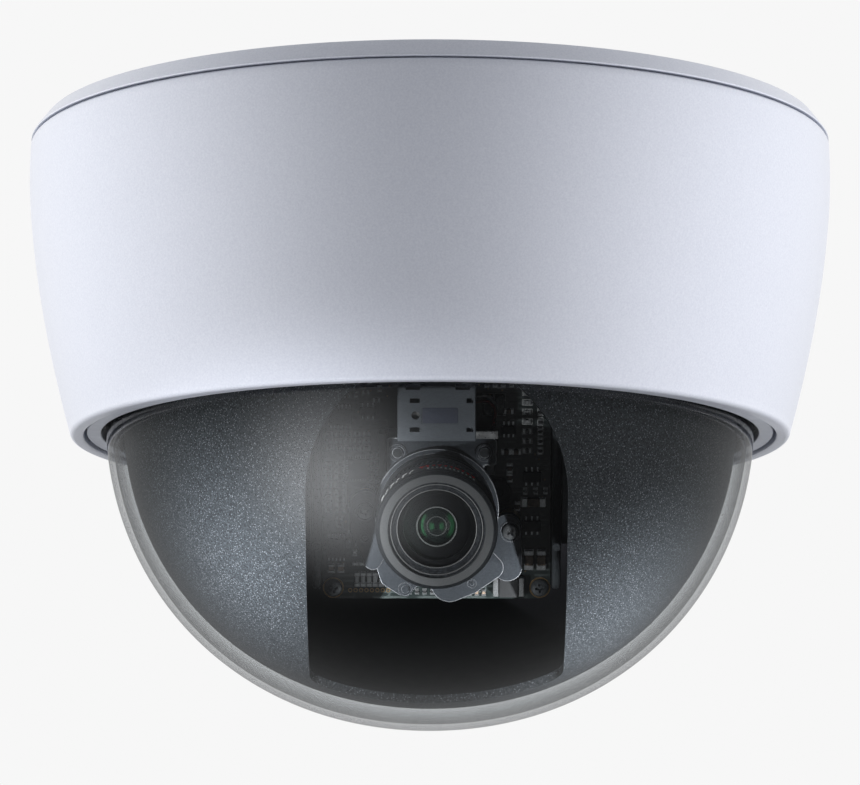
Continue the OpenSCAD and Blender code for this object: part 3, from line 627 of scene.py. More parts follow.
def cover_shell():
    side = [(cover_side(z), z) for z in levels(COVER_TOP - 0.6, CURVE_END_Z, 48)]
    bottom_r = cover_side(CURVE_END_Z)
    fillet = circle_points(bottom_r - 1, CURVE_END_Z, 1, 8, -10, -80)
    ledge = [(LIP_R, LEDGE_Z), (cover_side(LEDGE_Z) - COVER_WALL, LEDGE_Z)]
    lip = rounded([fillet[-1], (LIP_R, LIP_Z), *ledge], [0, 0.35, 0.2, 0], 5, closed=False)
    inside = [(cover_side(z) - COVER_WALL, z) for z in levels(LEDGE_Z, COVER_TOP - 0.2, 24)]
    top = [(COVER_R - 0.25 - COVER_WALL, COVER_TOP), (COVER_R - 0.95, COVER_TOP),
           (COVER_R - 0.55, COVER_TOP - 0.1), (COVER_R - 0.33, COVER_TOP - 0.3)]
    outline = side + fillet + lip[1:] + inside[1:] + top
    lathed("cover_shell", outline, "cover", [PEARL], segments=FINE)


DOME_POWER = 2.08


def bowl(r, depth, start, count=56):
    """Points down an oval bowl, from a level below its rim to its lowest point on the axis."""
    first = math.asin((start / depth) ** (DOME_POWER / 2))
    points = []
    for k in range(count):
        a = first + (math.pi / 2 - first) * k / count
        out, down = (turn_of(a) ** (2 / DOME_POWER) for turn_of in (math.cos, math.sin))
        points.append((r * out, BOWL_Z - depth * down))
    return points + [(0, BOWL_Z - depth)]


DOME_R = 60.5
DOME_DEPTH = 59.2
DOME_WALL = 1.2
DOME_SEAT_Z = LIP_Z + 2.2
DOME_TOP_Z = DOME_SEAT_Z + 1.8
FLANGE_R = 62.7


def dome():
    outside = bowl(DOME_R, DOME_DEPTH, BOWL_Z - DOME_SEAT_Z)
    inside = bowl(DOME_R - DOME_WALL, DOME_DEPTH - DOME_WALL, BOWL_Z - DOME_TOP_Z)
    bm = bmesh.new()
    outer = [(FLANGE_R, DOME_TOP_Z), (FLANGE_R, DOME_SEAT_Z)] + outside
    lathe(bm, outer, FINE, closed=False)
    lathe(bm, inside, FINE, closed=False)
    lathe(bm, [inside[0], (FLANGE_R, DOME_TOP_Z)], FINE, closed=False)
    weld(bm)
    add_piece("dome", bm, "cover", [CLEAR])


def dome_ring():
    low = edge("dome_ring", 0, 2)
    high = edge("dome_ring", 1, 2)
    corners = [(61.2, low), (63.9, low), (63.9, LEDGE_Z), (66.6, LEDGE_Z), (66.6, high), (62.9, high),
               (62.9, low + 1.6), (61.2, low + 1.6)]
    lathed("dome_ring", rounded(corners, [0.3, 0.35, 0.1, 0.1, 0.2, 0.2, 0.1, 0.2], 5), "cover", [RING],
           segments=FINE)


# ---------- base ----------


def base_plate():
    rim_r = edge("base_plate", 1, 0)
    outline = rounded(
        [(7, 0), (67.1, 0), (67.1, -1.2), (71.1, -1.2), (71.1, 0), (72.4, 0), (rim_r, -3.2),
         (rim_r, -3.5), (71.5, -3.5), (71.5, -9.7), (70.3, -10.0), (70.3, -11.0), (71.5, -11.3),
         (71.5, -12.4), (70.9, -13),
         (68.7, -13), (68.7, -3.5), (59.5, -3.5), (59.5, -22.6), (56, -22.6), (56, -19), (53, -19),
         (53, -3.5), (7, -3.5)],
        [0, 0.15, 0, 0, 0.15, 0.35, 0.12, 0.12, 0, 0.1, 0.1, 0.1, 0.1, 0.2, 0.2,
         0.3, 0.4, 0.4, 0.2, 0.2, 0, 0.2, 0.4, 0], 4)
    bm = bmesh.new()
    lathe(bm, outline, FINE)
    holes = bmesh.new()
    for k in range(4):
        a = math.radians(22.5 + 90 * k)
        seat = shift(64 * math.cos(a), 64 * math.sin(a), 0)
        lathe(holes, [(0, -6), (2.25, -6), (2.25, -0.35), (2.6, 0.02), (2.6, 2), (0, 2)], 48, matrix=seat)
    mesh = carve(bm, holes)
    add_piece("base_plate", mesh, "base", [PEARL],
              replaces=["base_plate", "base_skirt", "bearing_ring"])


# ---------- liner ----------

LINER_R = 57.2
LINER_DEPTH = 55.1
LINER_WALL = 1.5
LINER_TOP_Z = -44.0
SLOT_W = 46.4
SLOT_ARCH_Z = -76.5
SLOT_END_Y = -5.0
SLOT_CORNER = 5.0


def liner():
    outside = bowl(LINER_R, LINER_DEPTH, 0.0, 72)
    inside = bowl(LINER_R - LINER_WALL, LINER_DEPTH - LINER_WALL, 0.0, 72)
    rim = rounded([(LINER_R, BOWL_Z), (LINER_R, LINER_TOP_Z), (LINER_R - LINER_WALL, LINER_TOP_Z),
                   (LINER_R - LINER_WALL, BOWL_Z)], [0, 0.3, 0.3, 0], 4, closed=False)
    bm = bmesh.new()
    lathe(bm, rim[5:0:-1] + outside, FINE, closed=False)
    lathe(bm, rim[5:11] + inside, FINE, 1, closed=False)
    weld(bm)
    front = bmesh.new()
    half = SLOT_W / 2
    arch = circle_points(MODULE_X, SLOT_ARCH_Z, half, 64, 0, 180)
    window = [(MODULE_X - half, -130), (MODULE_X + half, -130)] + arch
    lying = turned_about("X", 90)
    slab(front, window, -SLOT_END_Y - 6, 80, 0, matrix=lying)
    corner_box = bmesh.new()
    slab(corner_box, rounded_rect(MODULE_X - half, MODULE_X + half, -90, SLOT_END_Y, SLOT_CORNER, 10),
         -132, -18, 0)
    opening = reopened(carve(front, corner_box, operation="INTERSECT"))
    bm = reopened(carve(bm, opening))
    for k in range(3):
        spin = turned_about("Z", 90 + 120 * k)
        tab = rounded([(44, -5), (55.9, -5), (55.9, 5), (44, 5)], [2, 0, 0, 2], 6)
        slab(bm, tab, LINER_TOP_Z - 2.5, LINER_TOP_Z, 0.2, matrix=spin)
    add_piece("liner", bm, "pan_head", [LINER, MATT_BLACK], sharp=30)


# ---------- camera module ----------


BOARD_HOLES = [(x, v) for x in (-19, 19) for v in (-16.9, 20.6)]


def camera_board():
    """The black board with gold-ringed corner holes."""
    bm = bmesh.new()
    corners = [(-21, -19), (21, -19), (21, 23), (-21, 23)]
    slab(bm, rounded(corners, [3, 3, 1.5, 1.5], 6), -1.6, 0, 0.08, 0, 1)
    holes = bmesh.new()
    for x, v in BOARD_HOLES:
        rod(holes, 1.05, -3, 1, 32, shift(x, v))
    bm = reopened(carve(bm, holes))
    for x, v in BOARD_HOLES:
        hoop(bm, 1.08, 1.95, 0.0, 0.04, 40, shift(x, v), 1)
    add_piece("camera_board", bm, "camera_module", [BOARD_BLACK, GOLD], BOARD)


# Materials of the board's parts, by their place in the mesh's slots
CHIP_I, TIN_I, BROWN_I, GREY_I, SILK_I, GOLD_I, NYLON_I = range(7)
# Width, height and depth of the smallest two-ended parts
SMALL = (1.0, 0.55, 0.4)
BOARD_PARTS = [CHIP, TIN, CERAMIC, GREY_CERAMIC, SILK, GOLD, GREY_NYLON]


def chip_part(bm, x, y, w, h, tall, body, upright=False):
    """A small two-ended part: a body with a tinned cap on each end, w long and h wide."""
    cap = 0.24 * w

    def put(low, high, chamfer, material):
        if upright:
            low, high = (low[1], low[0], low[2]), (high[1], high[0], high[2])
        block(bm, low, high, chamfer, material, matrix=shift(x, y))

    put((-w / 2 + cap, -h / 2, 0.02), (w / 2 - cap, h / 2, tall), 0.05, body)
    for low in (-w / 2, w / 2 - cap):
        put((low, -h / 2 - 0.03, 0), (low + cap, h / 2 + 0.03, tall + 0.04), 0.07, TIN_I)
        put((low - 0.15, -h / 2 - 0.12, 0), (low + cap + 0.1, h / 2 + 0.12, 0.06), 0.02, TIN_I)


def frame_line(bm, x, y, w, h, line=0.11):
    """A thin printed outline round a part."""
    for low, high in (((-w / 2, -h / 2), (w / 2, -h / 2 + line)), ((-w / 2, h / 2 - line), (w / 2, h / 2)),
                      ((-w / 2, -h / 2), (-w / 2 + line, h / 2)), ((w / 2 - line, -h / 2), (w / 2, h / 2))):
        block(bm, (x + low[0], y + low[1], 0), (x + high[0], y + high[1], 0.03), 0, SILK_I)


def leg(bm, x, y, dx, dy, wide=0.34):
    """A gull-wing leg from a chip's side down to its pad. (dx, dy) points away from the chip."""
    across = wide / 2
    for reach, foot, top in ((0.75, 0, 0.22), (0.3, 0.2, 0.55)):
        low = (x - abs(dy) * across + min(dx, 0) * reach, y - abs(dx) * across + min(dy, 0) * reach, foot)
        high = (x + abs(dy) * across + max(dx, 0) * reach, y + abs(dx) * across + max(dy, 0) * reach, top)
        block(bm, low, high, 0.05, TIN_I)


def small_outline(bm, x, y, legs=3, w=2.9, h=1.6, pitch=0.95):
    """A six-legged small outline chip with its legs above and below."""
    block(bm, (x - w / 2, y - h / 2, 0.1), (x + w / 2, y + h / 2, 1.1), 0.12, CHIP_I)
    for k in range(legs):
        lx = x + (k - (legs - 1) / 2) * pitch
        leg(bm, lx, y + h / 2, 0, 1)
        leg(bm, lx, y - h / 2, 0, -1)


def flat_chip(bm, x, y, size, pins):
    """A square flat chip with short pads on all four sides and a pin-one dot."""
    half, tall = size / 2, 0.85
    block(bm, (x - half, y - half, 0.02), (x + half, y + half, tall), 0.08, CHIP_I)
    rod(bm, 0.26, tall - 0.05, tall + 0.012, 20, shift(x - half + 0.65, y + half - 0.65), GREY_I)
    pitch = (size - 0.9) / (pins - 1)
    for k in range(pins):
        s = -half + 0.45 + k * pitch
        for dx, dy, px, py in ((1, 0, x + half, y + s), (-1, 0, x - half, y + s),
                               (0, 1, x + s, y + half), (0, -1, x + s, y - half)):
            low = (px - 0.1 - (0.32 if dx < 0 else 0), py - 0.1 - (0.32 if dy < 0 else 0), 0)
            high = (px + 0.1 + (0.32 if dx > 0 else 0), py + 0.1 + (0.32 if dy > 0 else 0), 0.14)
            block(bm, low, high, 0.03, TIN_I)
    frame_line(bm, x, y, size + 1.3, size + 1.3)


def wide_chip(bm, x, y, w, h, pins):
    """An oblong chip with a row of legs along its top edge and bottom edge."""
    block(bm, (x - w / 2, y - h / 2, 0.1), (x + w / 2, y + h / 2, 1.2), 0.14, CHIP_I)
    for k in range(pins):
        lx = x + (k - (pins - 1) / 2) * w / pins
        leg(bm, lx, y + h / 2, 0, 1, 0.3)
        leg(bm, lx, y - h / 2, 0, -1, 0.3)


def via(bm, x, y, r=0.42):
    hoop(bm, r * 0.5, r, 0.0, 0.05, 20, shift(x, y), GOLD_I)


def board_parts():
    """Everything soldered to the front of the camera board."""
    bm = bmesh.new()
    # Resistor rows down the left edge
    for v in (6.3, 5.1, 3.9, 2.4, 1.1, -0.1, -1.2, -2.4):
        chip_part(bm, -19.8, v, *SMALL, GREY_I)
        chip_part(bm, -17.6, v, 1.6, 0.8, 0.5, CHIP_I)
        frame_line(bm, -17.6, v, 2.2, 1.12, 0.09)
    for v in (-4.0, -5.2):
        chip_part(bm, -17.8, v, *SMALL, GREY_I)
    flat_chip(bm, -14.4, 5.5, 3.7, 7)
    wide_chip(bm, -18.4, -9.3, 3.5, 3.6, 5)
    for x in (-19.4, -17.6):
        chip_part(bm, x, -13.2, 1.5, 1.0, 0.8, BROWN_I, upright=True)
    # Upper left field
    wide_chip(bm, -17.6, 15.2, 4.2, 3.0, 6)
    for v in (9.3, 10.6, 11.9):
        for x in (-19.6, -17.9, -16.2, -14.5, -12.8):
            chip_part(bm, x, v, *SMALL, GREY_I if (x + v) % 2 < 1 else CHIP_I)
    small_outline(bm, -12.6, 16.2)
    for x in (-12.0, -10.9):
        for v in (1.6, 3.2, 4.8, 6.4, 8.0):
            chip_part(bm, x, v, 1.0, 0.5, 0.4, GREY_I, upright=True)
    # Array and gold test points near the bottom left
    for k in range(5):
        x = -14.6 + 1.1 * k
        chip_part(bm, x, -15.3, 2.6, 0.75, 0.55, GREY_I, upright=True)
    for k in range(8):
        via(bm, -15.9 + 1.0 * k, -17.4)
    for x, v in ((-14.9, -12.4), (-13.6, -12.4), (-12.4, -12.4)):
        chip_part(bm, x, v, 0.9, 0.5, 0.4, TIN_I)
    # Right side: two small outline chips, brown capacitors and rows of small parts
    small_outline(bm, 17.5, 4.0, 3, 3.2, 2.0, 1.05)
    small_outline(bm, 17.5, -5.2, 3, 3.2, 2.0, 1.05)
    small_outline(bm, 13.2, 12.8, 3, 2.6, 1.5, 0.85)
    chip_part(bm, 17.8, -0.8, 4.4, 1.5, 1.0, BROWN_I)
    for x in (17.0, 19.3):
        chip_part(bm, x, -11.6, 3.6, 1.5, 1.0, BROWN_I, upright=True)
    for x in (16.3, 18.2, 20.0):
        chip_part(bm, x, 1.3, *SMALL, GREY_I, upright=True)
    for v in (19.6, 17.8, 16.0, 14.2, 12.4, 10.6, 8.8):
        chip_part(bm, 16.6, v, 1.3, 0.7, 0.5, GREY_I)
        frame_line(bm, 16.6, v, 1.9, 1.15, 0.08)
        chip_part(bm, 19.0, v, 1.1, 0.6, 0.45, CHIP_I, upright=True)
        frame_line(bm, 19.0, v, 1.1, 1.5, 0.08)
    for x, v in ((13.4, 5.6), (13.4, 3.8), (12.8, 8.6), (14.6, 8.6), (14.8, -1.6), (14.6, -7.2),
                 (13.2, 16.2)):
        chip_part(bm, x, v, 1.6, 0.85, 0.8, BROWN_I, upright=v < 6)
    for v in (-8.6, -9.8, -11.0, -12.2):
        chip_part(bm, 14.6, v, *SMALL, GREY_I)
    # Two metal-cased crystals beside the filter box
    for x in (9.4, 11.6):
        slab(bm, rounded_rect(x - 0.8, x + 0.8, 15.6, 19.2, 0.75, 6), 0, 1.0, 0.2, GREY_I)
        frame_line(bm, x, 17.4, 2.0, 4.2, 0.09)
    for k in range(5):
        chip_part(bm, 9.2 + 1.5 * k, 21.3, 1.2, 0.6, 0.45, GREY_I, upright=True)
    # Bottom edge
    for k in range(4):
        chip_part(bm, 4.8 + 1.3 * k, -17.8, 1.0, 0.6, 0.45, BROWN_I, upright=True)
    for k in range(6):
        chip_part(bm, -6.4 + 1.4 * k, -17.6, 0.9, 0.55, 0.45, CHIP_I, upright=True)
    # Loose small parts in the open stretches
    dice = random.Random(11)
    for x0, x1, y0, y1, count in ((-16.5, -10.4, -10.6, -1.2, 26), (9.4, 12.4, -13.6, -8.8, 6),
                                  (-13.6, -10.2, 18.2, 22.2, 6), (-20, -14, 18.4, 22.3, 9)):
        taken = []
        for _ in range(count * 6):
            x, y = dice.uniform(x0, x1), dice.uniform(y0, y1)
            kind, upright = dice.choice((CHIP_I, GREY_I, BROWN_I, GREY_I)), dice.random() < 0.5
            if all(abs(x - a) > 1.45 or abs(y - b) > 1.45 for a, b in taken) and len(taken) < count:
                taken.append((x, y))
                chip_part(bm, x, y, *SMALL, kind, upright)
    dots = random.Random(5)
    for _ in range(70):
        x, y = dots.uniform(-20.4, 20.4), dots.uniform(-18.4, 22.4)
        via(bm, x, y, 0.16)
    # Upright connector left of the holder, and a smaller upright block right of it
    block(bm, (-10.6, 4.8, 0), (-9.25, 12.8, 4), 0.2, NYLON_I, 2)
    block(bm, (9.1, 4.9, 0), (10.6, 7.4, 3.6), 0.2, NYLON_I, 2)
    add_piece("board_parts", bm, "camera_module", BOARD_PARTS, BOARD,
              replaces=["board_passives", "board_chips"])


def power_coils():
    """A drum coil and a square-cornered power coil with tinned ends."""
    bm = bmesh.new()
    drum = rounded([(0, 0), (2.2, 0), (2.2, 0.5), (1.7, 0.7), (1.7, 1.7), (2.2, 1.9), (2.2, 2.4),
                    (0.9, 2.4), (0.7, 2.15), (0, 2.15)],
                   [0, 0.1, 0.1, 0.1, 0.1, 0.1, 0.15, 0.1, 0.1, 0], 3)
    lathe(bm, drum, 48, matrix=shift(11.4, 1.4))
    block(bm, (11.4, -18.3, 0.1), (15.1, -14.6, 2.5), 0.35, 0, 3)
    for x0, x1 in ((10.4, 11.5), (15.0, 16.1)):
        block(bm, (x0, -18.2, 0), (x1, -14.7, 2.1), 0.2, 1, 2)
    add_piece("power_coils", bm, "camera_module", [CHIP, TIN], BOARD)


def lens_holder():
    """The moulded block on the board that carries the lens and the filter."""
    bm = bmesh.new()
    low, high = -BOARD_DEPTH, -20.0
    slab(bm, rounded([(-9, -14), (8.6, -14), (8.6, 7.8), (11, 7.8), (11, 13), (-9, 13)],
                     [0.8, 0.8, 0.5, 0.8, 1.2, 0.6], 5), low, high, 0.25, segments=2)
    bm = reopened(carve(bm, holder_cavity()))
    for x in (-7.1, 8.7):
        seat = shift(x, 10.2, high)
        lathe(bm, rounded([(0, -0.2), (1.65, -0.2), (1.65, 0.35), (1.2, 0.35), (1.2, 0.1), (0, 0.1)],
                          [0, 0, 0.12, 0.1, 0, 0], 4), 40, matrix=seat)
        pin = rounded([(0, 0), (1.0, 0), (1.0, 0.45), (0, 0.5)], [0, 0, 0.2, 0], 4)
        lathe(bm, pin, 32, 1, matrix=seat)
    piece = add_piece("lens_holder", bm, "camera_module", [CASTING, BLACK, EDGE_HIGHLIGHT], LENS)
    # The front chamfers take the painted edge highlight
    paint_edge_highlights(piece.data, 2)


def holder_cavity():
    tool = bmesh.new()
    block(tool, (-6.4, -12.9, -BOARD_DEPTH - 1), (6.4, 14.1, -23), 0)
    rod(tool, 7, -24, -19, 96)
    return tool


def filter_housing():
    """The folded metal box of the day and night filter, with its slots and label recess."""
    front, back = -16.0, -27.0
    bm = bmesh.new()
    block(bm, (-7.1, 13, back), (7.1, 23, front), 0.3, 0, 3)
    tools = bmesh.new()
    block(tools, (-6.3, 11, back + 0.8), (6.3, 22.2, front - 0.8), 0)
    for x in (-3.95, 6.0):
        for v in (15.2, 20.5):
            wide = 0.9 if x < 0 else 0.62
            block(tools, (x - wide, v - 0.42, front - 1.6), (x + wide, v + 0.42, front + 1), 0)
    rod(tools, 0.75, front - 1.6, front + 1, 32, shift(-3.8, 17.8))
    block(tools, (-2.75, 16.2, front - 0.12), (4.0, 19.35, front + 1), 0)
    for x in (-5.6, 3.4):
        block(tools, (x, 22.5, front - 3), (x + 2.6, 24, front + 1), 0)
    bm = reopened(carve(bm, tools, overlapping=True))
    slab(bm, rounded_rect(-2.6, 3.85, 16.35, 19.2, 0.3), front - 0.14, front - 0.04, 0.03, 1)
    slab(bm, rounded_rect(7.0, 11.1, 13.45, 14.85, 0.15), front - 1.1, front - 0.2, 0.12, 2)
    for x, v, r in ((0.4, 21.1, 0.85), (0.3, 14.6, 0.85), (5.6, 17.8, 0.8)):
        lathe(bm, [(0, front - 0.02), (r - 0.08, front - 0.02), (r - 0.08, front + 0.03), (r, front + 0.03),
                   (r, front - 0.02)][1:], 36, matrix=shift(x, v))
    add_piece("filter_housing", bm, "camera_module", [FILTER_STEEL, LABEL, STEEL], LENS)


FLANGE_HOLES = ((-13.0, -0.2), (13.4, -4.0))


def lens_flange():
    """The grained flange: a collar and overlapping lobes at slightly different heights."""
    bm = bmesh.new()
    low, high = -20.0, -18.0
    lobes = [
        ([(-13.0, 0.6, 2.9), (-12.6, -2.8, 3.3), (-11.6, -9.6, 1.6), (-8.5, -3, 2)], 0.0),
        ([(12.9, -3.4, 2.6), (12.9, -10.6, 2.7), (9, -6, 3)], 0.0),
        ([(-9.6, -8.8, 1.9), (-8.2, -12.4, 2.2), (-6.0, -14.2, 1.9), (-4, -9, 4)], -0.35),
        ([(2.4, -13.6, 3.5), (5.5, -12.6, 3.2), (10.0, -10.7, 2.2), (5, -8, 4)], 0.3),
    ]
    for circles, lift in lobes:
        slab(bm, blob(circles), low, high + lift, 0.28, segments=3)
    collar = [(10.45, low), (11.3, low), (11.3, high + 0.35), (10.45, high + 0.35)]
    lathe(bm, rounded(collar, [0, 0, 0.25, 0.1], 4), 128)
    bm = reopened(carve(bm, flange_holes(), overlapping=True))
    # Raised rims round the screws and the small pegs
    for x, v, r, lift in ((-13.0, -0.2, 1.9, 0.0), (13.4, -4.0, 1.95, 0.0), (-5.7, -14.8, 1.35, -0.35),
                          (-13.0, -5.2, 0.95, 0.0), (6.4, -13.6, 0.9, 0.3)):
        z = high + lift
        lathe(bm, rounded([(r - 0.22, z - 0.1), (r, z - 0.1), (r, z + 0.12), (r - 0.22, z + 0.12)],
                          [0, 0, 0.1, 0.1], 3), 48, matrix=shift(x, v))
    for x, v, r, lift in ((-5.7, -14.8, 0.75, -0.35), (-13.0, -5.2, 0.4, 0.0), (6.4, -13.6, 0.4, 0.3)):
        z = high + lift
        peg = rounded([(0, z - 0.1), (r, z - 0.1), (r, z + 0.25), (0, z + 0.3)], [0, 0, 0.15, 0], 3)
        lathe(bm, peg, 32, matrix=shift(x, v))
    piece = add_piece("lens_flange", bm, "camera_module", [CASTING, EDGE_HIGHLIGHT], LENS)
    # The front chamfers take the painted edge highlight
    paint_edge_highlights(piece.data, 1)


def flange_holes():
    tool = bmesh.new()
    rod(tool, 10.4, -22, -15, 128)
    for x, v in FLANGE_HOLES:
        rod(tool, 0.9, -22, -15, 32, shift(x, v))
    return tool


def cross_screw(bm, matrix, head_r, head_h, shank_r, length, turned):
    """A cross-head screw with a domed head. Its seat is at z = 0 and its shank runs down."""
    dome_points = [(head_r * math.cos(math.radians(a)), head_h * (0.35 + 0.65 * math.sin(math.radians(a))))
                   for a in range(0, 90, 9)]
    outline = [(0, -length), (shank_r * 0.7, -length), (shank_r, -length + 0.4), (shank_r, 0), (head_r, 0)]
    blank = bmesh.new()
    lathe(blank, outline + dome_points + [(0, head_h)], 40)
    tools = bmesh.new()
    for k in range(2):
        spin = turned_about("Z", turned + 90 * k)
        slot = bmesh.new()
        bmesh.ops.create_cube(slot, size=1)
        for v in slot.verts:
            wide = 0.30 if v.co.z > 0 else 0.20
            long = 1.30 if v.co.z > 0 else 0.6
            v.co = Vector((v.co.x * head_r * long, v.co.y * head_r * wide,
                           head_h * 1.2 if v.co.z > 0 else head_h * 0.3))
        join(tools, slot, matrix=spin)
    mesh = carve(blank, tools, overlapping=True)
    part = reopened(mesh)
    bpy.data.meshes.remove(mesh)
    join(bm, part, 0, matrix)


def module_screws():
    bm = bmesh.new()
    for (x, v), turned in zip(FLANGE_HOLES, (20, 38)):
        cross_screw(bm, shift(x, v, -18), 1.45, 0.75, 0.9, 8, turned)
    add_piece("flange_screws", bm, "camera_module", [SCREW_STEEL], LENS)
    bm = bmesh.new()
    turns = iter((12, 55, 31, 74, 5, 48, 66, 27))
    for x, v in BOARD_HOLES:
        cross_screw(bm, shift(x, v), 1.65, 1.1, 1.0, 8, next(turns))
        back = shift(x, v, -16.5) @ turned_about("X", 180)
        cross_screw(bm, back, 1.65, 1.1, 1.0, 7, next(turns))
    add_piece("board_screws", bm, "camera_module", [DARK_STEEL], BOARD)


# ---------- lens ----------

RING_R = 10.9
TUBE_R = 8.3
TEETH = 72


def lens_barrel():
    outline = rounded(
        [(7.3, -4.4), (TUBE_R, -4.4), (TUBE_R, -12.2), (10.0, -12.2), (10.4, -12.7), (10.4, -14.2),
         (10.15, -14.4), (10.15, -15.0), (10.4, -15.2), (10.4, -20.0), (7.0, -20.0), (7.0, -23.4),
         (5.0, -23.4), (5.0, -9.0), (7.3, -8.6)], 0.1, 2)
    lathed("lens_barrel", outline, "camera_module", [ANODISED], LENS)


def zoom_ring():
    """The zoom ring: a smooth band and a band of fine teeth."""
    segments = TEETH * 4
    bm = bmesh.new()

    def teeth(r, z, k):
        cut = -0.22 if k % 4 in (0, 1) else 0.0
        return cut if r > 10.7 and z > -9.2 else 0.0

    outline = [(8.4, -7.3), (10.6, -7.3), (10.9, -7.5), (10.9, -9.0), (10.6, -9.25), (10.6, -9.45),
               (10.7, -9.6), (10.7, -11.8), (10.5, -12.0), (8.4, -12.0)]
    lathe(bm, outline, segments, ripple=teeth)
    add_piece("zoom_ring", bm, "zoom", [ANODISED], LENS)


def band_mark(bm, angle, width, z0, z1, material):
    """A printed mark on the focus ring's side: angle and width in degrees round from the top."""
    steps = max(1, int(width // 3))
    inner, outer = RING_R - 0.05, RING_R + 0.035
    for k in range(steps):
        a0 = math.radians(90 - angle - width / 2 + width * k / steps)
        a1 = math.radians(90 - angle - width / 2 + width * (k + 1) / steps)
        corners = []
        for r in (inner, outer):
            for a, z in ((a0, z0), (a1, z0), (a1, z1), (a0, z1)):
                corners.append(bm.verts.new((r * math.cos(a), r * math.sin(a), z)))
        for order in ((0, 1, 2, 3), (7, 6, 5, 4), (0, 4, 5, 1), (1, 5, 6, 2), (2, 6, 7, 3), (3, 7, 4, 0)):
            bm.faces.new([corners[i] for i in order]).material_index = material


def focus_ring():
    """The focus ring: a pale front face, grooved edge and a printed tick scale round its side."""
    bm = bmesh.new()
    face = rounded([(8.7, -4.1), (8.7, 0), (10.05, 0), (10.1, -0.02)], [0, 0.12, 0.1, 0], 3, closed=False)
    side = rounded([(10.1, -0.02), (10.5, -0.35), (10.5, -0.55), (10.25, -0.62), (10.25, -0.78),
                    (10.75, -0.9), (RING_R, -1.2), (RING_R, -5.6), (10.72, -5.75), (10.72, -6.0),
                    (RING_R, -6.15), (RING_R, -7.0), (8.4, -7.0), (8.4, -4.1), (8.7, -4.1)],
                   [0, 0.1, 0.05, 0.03, 0.03, 0.1, 0.15, 0.05, 0.05, 0.05, 0.05, 0.1, 0, 0, 0], 3,
                   closed=False)
    lathe(bm, face, FINE, 1, closed=False)
    lathe(bm, side, FINE, 0, closed=False)
    weld(bm)
    # A long red row and a short white row of ticks, as on a distance scale
    for k in range(10):
        wide = 3.6 if k % 3 else 4.6
        low = -5.5 if k % 2 else -5.2
        band_mark(bm, -14 + 5.6 * k, wide, low, low + 0.55, 2)
        band_mark(bm, -14 + 5.6 * k, wide * 0.45, -4.95, -3.9, 2)
    for k in range(12):
        tall = 1.0 if k % 4 else 1.4
        band_mark(bm, -8 + 4.1 * k, 1.9, -3.3, -3.3 + tall, 3)
    for k in range(6):
        band_mark(bm, -24 - 7.5 * k, 4.8 if k % 2 else 3.0, -4.6, -3.9, 3)
        band_mark(bm, -26 - 7.5 * k, 2.0, -3.6, -2.6, 3)
    add_piece("focus_ring", bm, "focus", [ANODISED, RING_FACE, SCALE_RED, SCALE_WHITE], LENS)


def front_cell():
    """The stepped black cell that holds the front glass, with two thin bright edges."""
    bm = bmesh.new()
    inner_edge = [(7.0, -1.75), (7.02, -1.5), (7.18, -1.42), (7.22, -1.6)]
    outer_edge = [(8.1, -0.9), (8.12, -0.72), (8.28, -0.66), (8.32, -0.9)]
    for outline, material in (
            ([(6.0, -4.1), (6.0, -3.0), (7.0, -3.0), (7.0, -1.75)], 1),
            (rounded(inner_edge, 0.04, 2, closed=False), 2),
            ([(7.22, -1.6), (7.7, -1.35), (7.75, -1.15), (8.05, -1.05), (8.1, -0.9)], 0),
            (rounded(outer_edge, 0.04, 2, closed=False), 2),
            ([(8.32, -0.9), (8.6, -0.8), (8.69, -0.75), (8.69, -4.1), (6.0, -4.1)], 0)):
        lathe(bm, outline, FINE, material, closed=False)
    weld(bm)
    add_piece("front_cell", bm, "focus", [CELL_METAL, MATT_BLACK, BRIGHT_EDGE], LENS)


def cap_points(radius, sag, top, count):
    """Points down a shallow spherical cap, from its middle to its edge."""
    ball = (radius * radius + sag * sag) / (2 * sag)
    widest = math.asin(radius / ball)
    return [(ball * math.sin(widest * k / count), top - ball + ball * math.cos(widest * k / count))
            for k in range(count + 1)]


def lenses():
    front = cap_points(6.9, 1.5, -0.75, 24) + cap_points(6.9, 0.95, -2.03, 16)[::-1]
    bm = bmesh.new()
    lathe(bm, front, 160, closed=False)
    weld(bm)
    add_piece("front_lens", bm, "focus", [FRONT_GLASS], LENS)
    bm = bmesh.new()
    for radius, sag, top, bottom in ((3.4, 1.3, -3.6, -8.2), (4.9, 0.9, -14.0, -17.0)):
        outline = cap_points(radius, sag, top, 16) + [(radius, bottom), (0, bottom)]
        lathe(bm, outline, 96, closed=False)
    weld(bm)
    lathe(bm, [(6.0, -4.4), (3.9, -3.75), (3.55, -3.8), (3.55, -8.4), (7.1, -8.4), (7.1, -4.6)], 160, 1)
    lathe(bm, rounded([(3.42, -3.8), (3.42, -3.35), (3.68, -3.35), (3.68, -3.8)], 0.08, 2), 128, 2)
    lathe(bm, rounded([(1.66, -4.0), (1.66, -3.84), (1.78, -3.84), (1.78, -4.0)], 0.03, 2), 96, 2)
    lathe(bm, rounded([(1.7, -9.4), (1.7, -9.1), (4.9, -8.9), (4.9, -9.4)], 0.08, 2), 96, 1)
    # The deep glass's colour holds painted green reflections
    materials = [INNER_GLASS, MATT_BLACK, BRIGHT_EDGE]
    add_piece("inner_lenses", bm, "camera_module", materials, LENS)


# ---------- carriers and leads ----------


